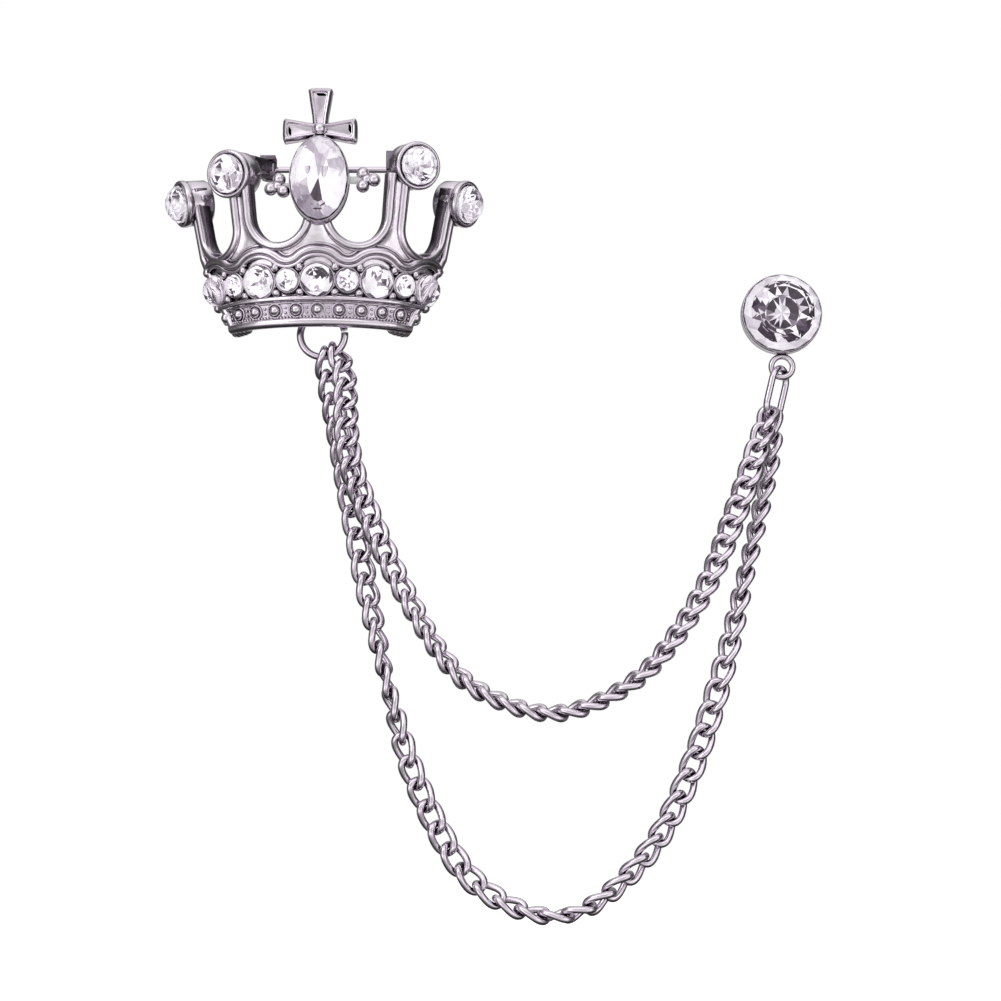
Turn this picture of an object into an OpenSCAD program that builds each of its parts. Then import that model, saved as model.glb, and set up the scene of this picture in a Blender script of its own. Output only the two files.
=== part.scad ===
// Lapel chain: a crown brooch and a round crystal stud joined by two strands of curb chain.
// +Z is up, +X runs from the brooch to the stud, and -Y is the side that is seen when it is worn.
// The origin is the middle of the brooch pin's stem, where the brooch hangs on the lapel.

/* [Crown wall] */
// Radius of the crown's front, at the row of stones
front_r = 18.9; // [17:0.1:21]
// Radius of the crown's two sides, at the row of stones
side_r = 11.1; // [10:0.1:12]
// Share of its radius that the front arc reaches to each side
front_share = 0.352; // [0.28:0.072:0.352]
// How far the wall leans outwards towards its top
flare_deg = 12; // [9:1:14]
// Thickness of the wall
wall_t = 1.5; // [1.3:0.1:1.9]
// How far the crown's front stands before the pin, at the row of stones
front_reach = 6; // [5.6:0.1:6.8]
// How far the row of stones lies below the pin
row_drop = 14.3; // [13.8:0.1:14.8]
// Height from the row of stones down to the bottom edge
band_h = 4.9; // [4.6:0.1:5.4]
// Height of the raised rims along the band
band_rim = 0.35; // [0.2:0.05:0.5]

/* [Posts and gaps] */
// Width of the middle post, which carries the oval stone
neck_w = 2.6; // [2.2:0.1:3]
// Width of the two inner gaps
inner_gap_w = 5.7; // [5:0.1:6]
// Width of the two inner posts
post_w = 2.2; // [2:0.1:2.8]
// Width of the two outer gaps
outer_gap_w = 5; // [4.6:0.1:5.2]
// Width of the posts at the wall's two ends
end_post_w = 1.6; // [1.4:0.1:2.4]
// Height from the row of stones up to the bottom of the inner gaps
inner_gap_h = 4; // [3.7:0.1:4.4]
// Height from the row of stones up to the bottom of the outer gaps
outer_gap_h = 3.5; // [3.3:0.1:4]
// Width of the raised border round the gaps
gap_rim_w = 0.7; // [0.5:0.05:0.8]
// Height of the raised border round the gaps
gap_rim_h = 0.35; // [0.2:0.05:0.5]
// Radius of the rounded rim that waves over the stones
wave_rim_r = 0.3; // [0.2:0.02:0.36]

/* [Stones] */
// Diameter of the large stones in the row
large_d = 3.5; // [3.2:0.1:3.7]
// Diameter of the small stones in the row
small_d = 2.4; // [2.1:0.1:2.6]
// Spacing of the stones along the row
row_pitch = 3.25; // [3.2:0.05:3.4]
// Diameter of the stones in the four cups
cup_stone_d = 4.2; // [3.8:0.1:4.3]
// Width of the oval stone
oval_w = 6.1; // [5.8:0.1:6.6]
// Height of the oval stone
oval_h = 9.2; // [8.8:0.1:9.6]
// Diameter of the stud's stone
stud_stone_d = 8.5; // [8:0.1:9]
// Gap between a stone and its seat
seat_gap = 0.05; // [0.03:0.01:0.08]

/* [Cups] */
// Outside diameter of a cup
cup_d = 5.3; // [5.1:0.1:5.7]
// Depth of a cup from front to back
cup_depth = 3.4; // [3.2:0.1:3.8]
// Angle round the crown of the left inner cup
left_cup_deg = 30.8; // [30:0.2:32]
// Angle round the crown of the right inner cup
right_cup_deg = 35; // [34:0.2:36]
// Angle round the crown of the two outer cups
outer_cup_deg = 68.6; // [67:0.2:70]
// Height of the left inner cup's centre below the pin
left_cup_drop = 2.6; // [2.4:0.05:2.7]
// Height of the right inner cup's centre below the pin
right_cup_drop = 1.55; // [1.5:0.05:1.8]
// Height of the outer cups' centres below the pin
outer_cup_drop = 3.95; // [3.8:0.05:4.2]

/* [Cross] */
// Width of the cross
cross_w = 8; // [7.4:0.1:8.6]
// Height of the cross's top above the pin
cross_top = 6.5; // [6:0.1:7]
// Height of the cross's arms above the pin
cross_arm_z = 1.75; // [1.5:0.05:2]
// Width of a flared arm at its end
cross_end_w = 2.7; // [2.3:0.1:3]
// Width of an arm at the cross's middle
cross_neck_w = 1.5; // [1.2:0.1:1.8]
// Thickness of the cross and of the oval stone's plate
cross_t = 1.3; // [1.1:0.1:1.6]

/* [Brooch pin] */
// Diameter of the pin's stem
stem_d = 0.7; // [0.6:0.05:0.8]
// Distance from the pin's hinge to the origin
hinge_x = 6.2; // [6:0.1:6.4]
// Distance from the catch to the origin
catch_x = 7.75; // [7.6:0.05:7.9]
// Length of stem past the catch, with its point
tip_l = 2.2; // [1.8:0.1:2.6]
// Diameter of the rivet in the pin's hinge
rivet_d = 0.7; // [0.6:0.05:0.8]
// Gap round the rivet
rivet_gap = 0.05; // [0.04:0.01:0.08]

/* [Links] */
// Outside diameter of the jump ring
ring_d = 5.7; // [5.4:0.1:6]
// Diameter of the jump ring's wire
ring_wire_d = 0.8; // [0.7:0.05:0.85]
// Outside length of the long link
long_l = 6.4; // [6.2:0.1:6.8]
// Outside width of the long link
long_w = 4; // [3.9:0.1:4.2]
// Diameter of the long link's wire
long_wire_d = 0.75; // [0.7:0.05:0.8]
// Diameter of the chain's wire
wire_d = 0.62; // [0.55:0.01:0.64]
// Outside width of a chain link
link_w = 2.7; // [2.65:0.05:2.8]
// Links in the upper strand
inner_links = 42; // [42:1:42]
// Links in the lower strand
outer_links = 52; // [52:1:52]
// Gap left where one link passes through the next
link_gap = 0.2; // [0.18:0.01:0.22]

/* [Stud] */
// Outside diameter of the stud's cup
stud_d = 8.9; // [8.8:0.1:9.6]
// Depth of the stud's cup
stud_depth = 1.7; // [1.5:0.1:2.2]
// Length of the post behind the stud
post_l = 8.5; // [8:0.5:10]
// Diameter of the post behind the stud
post_d = 1.1; // [1:0.05:1.2]
// Outside diameter of the loop under the stud
loop_d = 3; // [2.9:0.05:3.2]
// Diameter of the loop's wire
loop_wire_d = 0.65; // [0.6:0.05:0.7]
// Diameter of the clutch that holds the post
clutch_d = 5.6; // [5:0.1:6.5]
// Thickness of the clutch
clutch_t = 2.6; // [2:0.1:3]

/* [Hidden] */
$fn = 48;
metal = "#c6c0ca";
crystal = "#eef0f5";

// Plan of the crown: a front arc and two side arcs that meet it without a corner.
// A place on the wall is given by s, its distance round the row of stones, and its height z.
row_z = -row_drop;
band_z = row_z - band_h;
lean = tan(flare_deg);
front_y = -front_reach;
front_c = [0, front_y + front_r];
front_half_deg = asin(front_share);
joint_dir = [front_share, -sqrt(1 - front_share * front_share)];
side_c = front_c + (front_r - side_r) * joint_dir;
front_s = front_r * front_half_deg * PI / 180;
function deg_at(s) =
    abs(s) <= front_s ? s / front_r * 180 / PI
    : sign(s) * (front_half_deg + (abs(s) - front_s) / side_r * 180 / PI);
function arc_c(deg) =
    abs(deg) <= front_half_deg ? front_c : [sign(deg) * side_c.x, side_c.y];
function arc_r(deg, z) = (abs(deg) <= front_half_deg ? front_r : side_r) + (z - row_z) * lean;
function wall_point(deg, z, out = 0) =
    let (c = arc_c(deg), r = arc_r(deg, z) + out)
    [c.x + r * sin(deg), c.y - r * cos(deg), z];

// Posts and gaps, as angles round the crown
neck_deg = deg_at(neck_w / 2);
inner_gap_deg = [neck_deg, deg_at(neck_w / 2 + inner_gap_w)];
outer_gap_deg = [
    deg_at(neck_w / 2 + inner_gap_w + post_w),
    deg_at(neck_w / 2 + inner_gap_w + post_w + outer_gap_w)
];
end_s = neck_w / 2 + inner_gap_w + post_w + outer_gap_w + end_post_w;
end_deg = deg_at(end_s);
// The wall's ends lean in from the outer posts to the foot of the band
end_foot_s = 11.6;
post_top_z = -2.6;

// Row of stones: large ones at even places and small ones between them
row_places = [-4:4];
large_places = [-4:2:4];
small_places = [-3:2:3];
function row_s(i) = i * row_pitch;
function row_d(i) = i % 2 == 0 ? large_d : small_d;
collet = 0.3;
stone_out = 0.25;

// Oval stone and cross stand upright before the middle post, a little to its right
front_x = 0.3;
oval_z = -3.85;
plate_back_y = front_y - (oval_z - row_z) * lean + 0.9;
plate_y = plate_back_y - cross_t;

// Cups for the four round stones: angle round the crown, height, how far each stands out of the
// wall, and the direction that it faces
inner_cup_out = 0.6;
outer_cup_out = 1.25;
cups = [
    [-outer_cup_deg, -outer_cup_drop, outer_cup_out, -61],
    [-left_cup_deg, -left_cup_drop, inner_cup_out, -25],
    [right_cup_deg, -right_cup_drop, inner_cup_out, 28],
    [outer_cup_deg, -outer_cup_drop, outer_cup_out, 57]
];
cup_seat = 1;

// Brooch pin
eye_d = rivet_d + 2 * rivet_gap + 0.9;
eye_h = 1.2;
ear_t = 0.5;
ear_gap = 0.08;
catch_t = 0.9;
catch_h = 3.2;
bracket_front_y = -5.2;

// Jump ring, hung from a lug behind the foot of the band
ring_r = (ring_d - ring_wire_d) / 2;
hang_x = 0.3;
hang_y = front_y + 3.6;
lug_hole_d = ring_wire_d + 0.45;
lug_d = lug_hole_d + 1.3;
lug_w = 1;
lug_z = band_z + 2.1;
ring_z = lug_z - 0.1 - ring_r;
ring_c = [hang_x, hang_y, ring_z];

// Stud, with its loop under the cup
stud_c = [50.95, -2.6, -17.2];
loop_r = (loop_d - loop_wire_d) / 2;
loop_c = [stud_c.x, stud_c.y + 1, stud_c.z - stud_d / 2 - loop_d / 2 + 0.1];
long_r = (long_w - long_wire_d) / 2;
long_half = (long_l - long_wire_d) / 2;
long_lean = 14;
long_roll = 55;
long_drop = 0.25;
long_top = loop_c - [0, 0, long_drop];
function long_point(x, y, z) =
    let (
        a = [x * cos(long_roll), x * sin(long_roll) + y * cos(long_roll), z - long_half]
    )
    long_top + [
        a.x * cos(long_lean) + a.z * sin(long_lean), a.y, -a.x * sin(long_lean) + a.z * cos(long_lean)
    ];

// Each strand starts on the jump ring, at an angle from its lowest point, and ends on the long link.
function ring_point(deg) = ring_c + ring_r * [sin(deg), 0, -cos(deg)];
function long_foot(deg) =
    long_point(long_r * sin(deg), 0, -(long_half - long_r) - long_r * cos(deg));
upper_route = [
    [2.8, -3, -24.4], [3.4, -4.2, -32.5], [5, -3.8, -38], [9, -3.3, -47], [14.5, -3, -56],
    [20, -3, -59.8], [26, -3, -61], [32, -3, -59], [37, -3, -55], [42, -3, -47.5], [45.5, -3.6, -39],
    [47.3, -3.8, -34]
];
lower_route = [
    [1, -1.8, -25], [2.2, -1, -31], [3.7, -1, -39], [5.7, -1.4, -49], [8.3, -1.5, -60], [11, -1.5, -68.5],
    [15.5, -1.5, -77], [20.5, -1.5, -81], [26, -1.5, -82.3], [31, -1.5, -80.3], [36.5, -1.5, -74.5],
    [40.5, -1.5, -66.5], [44, -1.5, -56], [46.8, -1.2, -45], [48.7, -0.8, -37.5], [49.7, -0.9, -32.5]
];
// Roll of the links about the strand, against the share of the strand's length
upper_roll = [
    [0, -45], [0.12, -5], [0.2, -10], [0.27, -30], [0.35, -58], [0.5, -75], [0.62, -75], [0.72, -60],
    [0.8, -48], [0.87, -25], [0.94, -20], [1, -60]
];
lower_roll = [
    [0, -45], [0.12, 0], [0.2, -40], [0.27, -85], [0.35, -155], [0.42, -185], [0.5, -250], [0.57, -300],
    [0.65, -330], [0.72, -362], [0.8, -412], [0.87, -440], [1, -430]
];
upper_start = 38;
lower_start = 8;
upper_end = -24;
lower_end = 20;

// Smooth curve through the points of a route, and the place at a distance along it
route_steps = 8;
function catmull(a, b, c, d, t) =
    0.5 * (2 * b + (c - a) * t + (2 * a - 5 * b + 4 * c - d) * t * t + (3 * b - a - 3 * c + d) * t * t * t);
function smooth(p) =
    let (n = len(p))
    concat(
        [for (i = [0:n - 2], k = [0:route_steps - 1])
            catmull(p[max(i - 1, 0)], p[i], p[i + 1], p[min(i + 2, n - 1)], k / route_steps)],
        [p[n - 1]]
    );
function stations(p, i = 0, sum = 0, out = []) =
    i == len(p) ? out
    : let (next = i == 0 ? 0 : sum + norm(p[i] - p[i - 1]))
    stations(p, i + 1, next, concat(out, [next]));
function place(p, st, d) =
    [for (k = [0:2]) lookup(d, [for (i = [0:len(p) - 1]) [st[i], p[i][k]]])];

// A link is an oval loop of wire, turned about its length by a quarter turn and the strand's own
// roll, so that each end crosses the next link's end squarely.
link_sides = 5;
link_rings = 12;
link_round = 0.75;
hook_gap = 0.06;
function across(t) = let (side = cross(t, [0, 1, 0])) side / norm(side);
function turned(v, axis, deg) =
    v * cos(deg) + cross(axis, v) * sin(deg) + axis * (axis * v) * (1 - cos(deg));
function squared(x) = sign(x) * pow(abs(x), link_round);
function line_point(half_l, half_w, twist, t) =
    let (
        along = squared(cos(t)),
        roll = twist / 2 * along
    )
    [half_l * along, half_w * squared(sin(t)) * cos(roll), half_w * squared(sin(t)) * sin(roll)];
function loop_mesh(half_l, half_w, twist) =
    let (
        line = [for (i = [0:link_rings - 1]) line_point(half_l, half_w, twist, 360 * i / link_rings)]
    )
    [for (i = [0:link_rings - 1])
        let (
            p = line[i],
            ahead = line[(i + 1) % link_rings] - line[(i + link_rings - 1) % link_rings],
            axis = ahead / norm(ahead),
            out = cross(axis, cross(p, axis)),
            u = out / norm(out),
            v = cross(axis, u)
        )
        for (k = [0:link_sides - 1])
            p + wire_d / 2 * (cos(360 * k / link_sides) * u + sin(360 * k / link_sides) * v)];
function loop_faces() =
    [for (i = [0:link_rings - 1], k = [0:link_sides - 1])
        let (
            j = (i + 1) % link_rings,
            m = (k + 1) % link_sides
        )
        for (f = [[i * link_sides + k, i * link_sides + m, j * link_sides + m],
            [i * link_sides + k, j * link_sides + m, j * link_sides + k]]) f];

// A link in its own frame: along the strand, across it and out of it
module link_at(c, t, roll, twist, half_l) {
    side = turned(across(t), t, roll);
    up = cross(t, side);
    multmatrix([
        [t.x, side.x, up.x, c.x],
        [t.y, side.y, up.y, c.y],
        [t.z, side.z, up.z, c.z]
    ])
        polyhedron(loop_mesh(half_l, (link_w - wire_d) / 2, twist), loop_faces());
}

// One strand of chain, from the wire at its start to the wire at its end.
// The end links reach past the wires they hang on, so the pitch follows from both hooks.
module strand(points, rolls, links, start_wire, end_wire) {
    p = smooth(points);
    st = stations(p);
    total = st[len(st) - 1];
    start_hook = (start_wire + wire_d + link_gap) / 2 + hook_gap;
    end_hook = (end_wire + wire_d + link_gap) / 2 + hook_gap;
    pitch = (total + start_hook + end_hook - wire_d - link_gap) / links;
    half_l = (pitch + wire_d + link_gap) / 2;
    for (i = [0:links - 1]) {
        d = half_l - start_hook + i * pitch;
        t = place(p, st, d + 0.8) - place(p, st, d - 0.8);
        before = lookup((d - pitch / 2) / total, rolls);
        after = lookup((d + pitch / 2) / total, rolls);
        link_at(place(p, st, d), t / norm(t), lookup(d / total, rolls), 90 + after - before, half_l);
    }
}

// Children drawn in the XY plane are laid on the wall, with +Z outwards and +Y up the wall.
module on_wall(deg, z, out = 0)
    translate(wall_point(deg, z)) rotate([90 + flare_deg, 0, deg]) translate([0, 0, out]) children();

// Round bar with round ends
module bar(a, b, r) {
    d = b - a;
    translate(a) sphere(r);
    translate(b) sphere(r);
    translate(a) rotate([0, acos(d.z / norm(d)), atan2(d.y, d.x)]) cylinder(h = norm(d), r = r);
}

// Part of a ring of round wire in the XY plane
module wire_arc(r, wire_r, from, turn) {
    rotate([0, 0, from]) rotate_extrude(angle = turn) translate([r, 0]) circle(wire_r, $fn = 24);
}

// Section of the wall, turned about one of the plan's three centres: the band's two rims, the
// sunk row of beads between them, and the plain wall above
module wall_section(r) {
    function at(z, out) = [r + (z - row_z) * lean + out, z];
    foot = band_z;
    bead_low = foot + 0.75;
    bead_high = foot + 2.6;
    stone_foot = foot + 3.2;
    top = post_top_z;
    polygon([
        at(foot, -wall_t), at(foot, 0), at(foot + 0.1, band_rim), at(bead_low - 0.15, band_rim),
        at(bead_low, -0.1), at(bead_high, -0.1), at(bead_high + 0.12, band_rim),
        at(stone_foot - 0.12, band_rim), at(stone_foot, 0), at(top, 0), at(top, -wall_t)
    ]);
}

// Two sections, for the front's radius and the sides' radius, turned along the crown's plan.
// The arcs meet on planes through their centres.
module turned_wall() {
    joint = 50 * joint_dir;
    end = 50 * [sin(end_deg), -cos(end_deg)];
    translate([front_c.x, front_c.y, 0])
        intersection() {
            rotate_extrude($fn = 96) children(0);
            translate([0, 0, -30]) linear_extrude(40) polygon([[0, 0], [-joint.x, joint.y], joint]);
        }
    for (k = [-1, 1])
        translate([k * side_c.x, side_c.y, 0])
            intersection() {
                rotate_extrude($fn = 96) children(1);
                translate([0, 0, -30])
                    linear_extrude(40) polygon([[0, 0], [k * joint.x, joint.y], [k * end.x, end.y]]);
            }
}

module wall()
    turned_wall() {
        wall_section(front_r);
        wall_section(side_r);
    }

// Radius and height of the round foot of a gap between two angles
function gap_r(degs, h) =
    arc_r(degs[0], row_z + h) * sin((degs[1] - degs[0]) / 2);
function gap_z(degs, h) = row_z + h + gap_r(degs, h);

// Gap through the wall: a round foot, and above it everything between the two angles
cut_reach = 8;
module gap(degs, h) {
    mid = (degs[0] + degs[1]) / 2;
    z = gap_z(degs, h);
    c = arc_c(degs[0] + 0.01);
    reach = 40;
    translate([wall_point(mid, z).x, wall_point(mid, z).y, z])
        rotate([90, 0, mid])
            cylinder(h = 2 * cut_reach, r = gap_r(degs, h), center = true);
    translate([c.x, c.y, z])
        linear_extrude(20)
            polygon([[0, 0], for (a = degs) reach * [sin(a), -cos(a)]]);
}

// Raised border round the gaps, as a thicker wall that only stands near them
module border_section(r) {
    function at(z, out) = [r + (z - row_z) * lean + out, z];
    low = row_z + outer_gap_h - 2 * gap_rim_w;
    high = post_top_z - 0.5;
    polygon([at(low, -wall_t / 2), at(low, gap_rim_h), at(high, gap_rim_h), at(high, -wall_t / 2)]);
}
module border() {
    more = gap_rim_w * 180 / PI / side_r;
    intersection() {
        turned_wall() {
            border_section(front_r);
            border_section(side_r);
        }
        for (k = [0, 1]) mirror([k, 0, 0]) {
            gap(inner_gap_deg + [-more, more], inner_gap_h - gap_rim_w);
            gap(outer_gap_deg + [-more, more], outer_gap_h - gap_rim_w);
        }
    }
}

// Rounded rim that waves over the stones: arcs round the large stones joined by arcs the other way
wave_r = 2.75;
wave_dip = 1.5;
dip_h = (row_pitch * row_pitch - pow(wave_r - wave_dip, 2)) / (2 * (wave_r - wave_dip));
dip_r = dip_h - wave_dip;
wave_deg = atan2(dip_h, row_pitch);
module wave_rim() {
    for (i = large_places)
        on_wall(deg_at(row_s(i)), row_z) wire_arc(wave_r, wave_rim_r, wave_deg, 180 - 2 * wave_deg);
    for (i = small_places)
        on_wall(deg_at(row_s(i)), row_z)
            translate([0, dip_h, 0]) wire_arc(dip_r, wave_rim_r, 180 + wave_deg, 180 - 2 * wave_deg);
}

// Row of round beads between the band's rims, and the small beads that hold the stones
bead_r = 0.56;
bead_sides = 10;
bead_s = [0, 2.45, 4.95, 7.4, 9.8, 12.1];
prong_r = 0.42;
module beads() {
    bead_z = band_z + 1.7;
    for (i = [-5:5])
        on_wall(sign(i) * deg_at(bead_s[abs(i)]), bead_z) sphere(bead_r, $fn = bead_sides);
    for (i = [0:3], k = [-1, 1], up = [-1, 1]) {
        nearer = i % 2 == 0 ? 0.28 : -0.28;
        s = row_s(i) + row_pitch / 2 + nearer;
        on_wall(k * deg_at(s), row_z + up * 1.35, -0.4) cylinder(h = 0.85, r = prong_r, $fn = bead_sides);
    }
}
// Larger beads at the two ends of the row
module end_beads() {
    for (k = [-1, 1], p = [[14.6, 2.3], [13.4, -1.9]])
        on_wall(k * deg_at(p[0]), row_z + p[1]) sphere(bead_r, $fn = bead_sides);
}

// Lumps under the foot, near both ends of the band
module foot_lumps()
    for (k = [-1, 1], s = [9.3, 10.1, 10.9])
        translate(wall_point(k * deg_at(s), band_z, -wall_t / 2)) sphere(0.6, $fn = 24);

// Cups with a raised rim round the seat
module on_cup(c, out = 0)
    translate(wall_point(c[0], c[1], c[2]))
        rotate([90 + flare_deg, 0, c[3]]) translate([0, 0, out]) children();
module cup(c) {
    on_cup(c, -cup_depth) {
        cylinder(h = cup_depth - 0.3, d = cup_d);
        translate([0, 0, cup_depth - 0.3]) cylinder(h = 0.3, d1 = cup_d, d2 = cup_d - 0.5);
    }
}
module cup_bore(c)
    on_cup(c, -cup_seat) cylinder(h = 2 * cup_seat, d = cup_stone_d + 2 * seat_gap);

// Oval outline as a polygon
oval_n = 32;
function oval(w, h, n = oval_n, turn = 0) =
    [for (i = [0:n - 1]) let (a = 360 * (i + turn) / n) [w / 2 * sin(a), h / 2 * cos(a)]];

// Plate and setting of the oval stone, on the middle post
setting_rim = 0.2;
setting_seat = 0.8;
module oval_setting() {
    translate([0, plate_back_y, oval_z])
        rotate([90, 0, 0])
            linear_extrude(cross_t + 0.35)
                polygon(oval(oval_w + 2 * setting_rim, oval_h + 2 * setting_rim));
}
module oval_bore() {
    translate([0, plate_y - 0.35 + setting_seat, oval_z])
        rotate([90, 0, 0])
            linear_extrude(4) polygon(oval(oval_w + 2 * seat_gap, oval_h + 2 * seat_gap));
}

// Cross: four flared arms with a raised ridge, and a foot behind the oval stone
module flared_arm(l) {
    polygon([
        [-cross_neck_w / 2, 0], [cross_neck_w / 2, 0], [cross_end_w / 2, l - 0.25],
        [cross_end_w / 2 - 0.2, l], [0.2 - cross_end_w / 2, l], [-cross_end_w / 2, l - 0.25]
    ]);
}
module cross_piece() {
    arms = [[0, cross_top - cross_arm_z], [90, cross_w / 2], [-90, cross_w / 2], [180, 2]];
    translate([0, plate_back_y, cross_arm_z])
        rotate([90, 0, 0])
            for (a = arms)
                rotate([0, 0, a[0]]) {
                    linear_extrude(cross_t - 0.25) flared_arm(a[1]);
                    linear_extrude(cross_t) scale([0.62, 0.93]) flared_arm(a[1]);
                }
    translate([0, plate_y + 0.1, cross_arm_z]) sphere(0.75, $fn = 24);
}

// Trefoils of three beads beside the oval stone: place across, height and turn
trefoils = [
    [5.1, -3.8, 120],
    [-4.5, -4.4, 80]
];
trefoil_bead_r = 0.6;
module trefoil(x, z, turn) {
    y = (plate_y + plate_back_y) / 2;
    c = [x, y, z];
    for (a = [0, 120, 240])
        translate(c + [0.82 * cos(a + turn), -0.1, 0.82 * sin(a + turn)]) sphere(trefoil_bead_r, $fn = 24);
    translate(c) rotate([90, 0, 0]) cylinder(h = 0.7, r = 0.75, center = true);
    bar(c, [x * 0.5, y, z], 0.4);
}

// Hinge of the brooch pin: a bracket on the left inner cup, two ears and a rivet
module hinge() {
    ear_z = eye_h / 2 + ear_gap;
    translate([-hinge_x - 1.9, bracket_front_y, -ear_z - ear_t])
        cube([2.4, -bracket_front_y - eye_d / 2 - 0.15, 2 * (ear_z + ear_t)]);
    for (z = [ear_z, -ear_z - ear_t]) {
        translate([-hinge_x, 0, z]) cylinder(h = ear_t, d = eye_d);
        translate([-hinge_x - eye_d / 2, -eye_d, z]) cube([eye_d, eye_d, ear_t]);
    }
    translate([-hinge_x, 0, 0]) cylinder(h = 2 * (ear_z + ear_t), d = rivet_d, center = true);
}

// Catch: a plate on the right inner cup with a slot that is open at the back
module catch() {
    slot = stem_d + 0.2;
    difference() {
        translate([catch_x - catch_t / 2, bracket_front_y, -catch_h / 2])
            cube([catch_t, 1 - bracket_front_y, catch_h]);
        translate([catch_x, 0, 0]) rotate([0, 90, 0]) cylinder(h = 4, d = slot, center = true);
        translate([catch_x - 2, 0, -slot / 2]) cube([4, 4, slot]);
    }
}

// Lug behind the foot of the band, with the hole for the jump ring
module lug() {
    inner_y = wall_point(0, lug_z, -wall_t).y;
    difference() {
        union() {
            translate([hang_x, hang_y, lug_z])
                rotate([0, 90, 0]) cylinder(h = lug_w, d = lug_d, center = true);
            translate([hang_x - lug_w / 2, inner_y - 0.5, lug_z - lug_d / 2])
                cube([lug_w, hang_y - inner_y + 0.5, lug_d]);
        }
        translate([hang_x, hang_y, lug_z])
            rotate([0, 90, 0]) cylinder(h = 2 * lug_w, d = lug_hole_d, center = true);
    }
}

// Slanted cut at the wall's right end, from the outer post in to the foot of the band
module end_cut() {
    a = wall_point(end_deg, row_z + 4);
    b = wall_point(deg_at(end_foot_s), band_z);
    d = a - b;
    yaw = (end_deg + deg_at(end_foot_s)) / 2;
    along = d.x * cos(yaw) + d.y * sin(yaw);
    translate(b)
        rotate([0, atan2(along, d.z), yaw])
            translate([0, -cut_reach, -cut_reach])
                cube([10, 2 * cut_reach, norm([along, d.z]) + cut_reach]);
}

module crown() {
    color(metal)
        difference() {
            union() {
                difference() {
                    union() {
                        wall();
                        border();
                    }
                    for (k = [0, 1]) mirror([k, 0, 0]) {
                        gap(inner_gap_deg, inner_gap_h);
                        gap(outer_gap_deg, outer_gap_h);
                        end_cut();
                    }
                }
                wave_rim();
                for (i = row_places)
                    on_wall(deg_at(row_s(i)), row_z, -0.6)
                        cylinder(h = 0.6 + stone_out + 0.15, d = row_d(i) + 2 * collet);
                beads();
                end_beads();
                for (c = cups) cup(c);
                foot_lumps();
                translate([front_x, 0, 0]) {
                    oval_setting();
                    cross_piece();
                    for (t = trefoils) trefoil(t[0], t[1], t[2]);
                }
                hinge();
                catch();
                lug();
            }
            for (i = row_places)
                on_wall(deg_at(row_s(i)), row_z, stone_out - 0.75)
                    cylinder(h = 3, d = row_d(i) + 2 * seat_gap);
            for (c = cups) cup_bore(c);
            translate([front_x, 0, 0]) oval_bore();
        }
}

// Brooch pin: an eye round the rivet, a straight stem and a point
module pin_stem() {
    point_l = 1.4;
    stem_end = catch_x + tip_l - point_l;
    color(metal) {
        difference() {
            union() {
                translate([-hinge_x, 0, 0]) cylinder(h = eye_h, d = eye_d, center = true);
                translate([-hinge_x, 0, 0])
                    rotate([0, 90, 0]) cylinder(h = hinge_x + stem_end, d = stem_d);
            }
            translate([-hinge_x, 0, 0])
                cylinder(h = 2 * eye_h, d = rivet_d + 2 * rivet_gap, center = true);
        }
        translate([stem_end, 0, 0]) rotate([0, 90, 0]) cylinder(h = point_l, d1 = stem_d, d2 = 0.12);
    }
}

// Cut stone: a table, star, kite and girdle facets above, and a blunt foot in the seat.
// w and h are its girdle's size, up the height of its table and down the depth of its foot.
stone_n = 8;
function facet_ring(w, h, z, n, turn) = [for (p = oval(w, h, n, turn)) [p.x, p.y, z]];
module cut_stone(w, h, up, girdle, down) {
    n = stone_n;
    table = 0.5;
    star = 0.76;
    points = concat(
        facet_ring(table * w, h - (1 - table) * w, up, n, 0),
        facet_ring(star * w, h - (1 - star) * w, girdle + (up - girdle) * 0.62, n, 0.5),
        facet_ring(w, h, girdle, 2 * n, 0),
        facet_ring(w, h, 0, 2 * n, 0),
        facet_ring(0.75 * w, h - 0.25 * w, -down, 2 * n, 0)
    );
    m = 2 * n;
    function g(row, i) = n * 2 + row * m + (i + m) % m;
    faces = concat(
        [[for (i = [0:n - 1]) i]],
        [for (i = [0:n - 1]) [i, n + i, (i + 1) % n]],
        [for (i = [0:n - 1]) [i, n + (i + n - 1) % n, g(0, 2 * i), n + i]],
        [for (i = [0:n - 1]) [n + i, g(0, 2 * i), g(0, 2 * i + 1)]],
        [for (i = [0:n - 1]) [n + i, g(0, 2 * i + 1), g(0, 2 * i + 2)]],
        [for (r = [0, 1], i = [0:m - 1]) [g(r, i), g(r + 1, i), g(r + 1, i + 1), g(r, i + 1)]],
        [[for (i = [m - 1:-1:0]) g(2, i)]]
    );
    color(crystal) polyhedron(points, faces);
}

module row_stone(i)
    on_wall(deg_at(row_s(i)), row_z, stone_out)
        cut_stone(row_d(i), row_d(i), 0.3 * row_d(i), 0.25, 0.65);

module cup_stone(i)
    on_cup(cups[i])
        cut_stone(cup_stone_d, cup_stone_d, 0.3 * cup_stone_d, 0.25, 0.9);

oval_up = 1.7;
module oval_stone()
    translate([front_x, plate_y - 0.35, oval_z])
        rotate([90, 0, 0]) cut_stone(oval_w, oval_h, oval_up, 0.4, setting_seat - 0.1);

stud_stone_up = 1.8;
stud_seat = 1.2;
module stud_stone()
    translate(stud_c)
        rotate([90, 0, 0]) cut_stone(stud_stone_d, stud_stone_d, stud_stone_up, 0.3, stud_seat - 0.1);

// Ring of round wire, cut at its right side
ring_cut_deg = 12;
ring_open_deg = 6;
module jump_ring() {
    color(metal)
        translate(ring_c)
            rotate([90, 0, 0]) wire_arc(ring_r, ring_wire_d / 2, ring_cut_deg, 360 - ring_open_deg);
}

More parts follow.
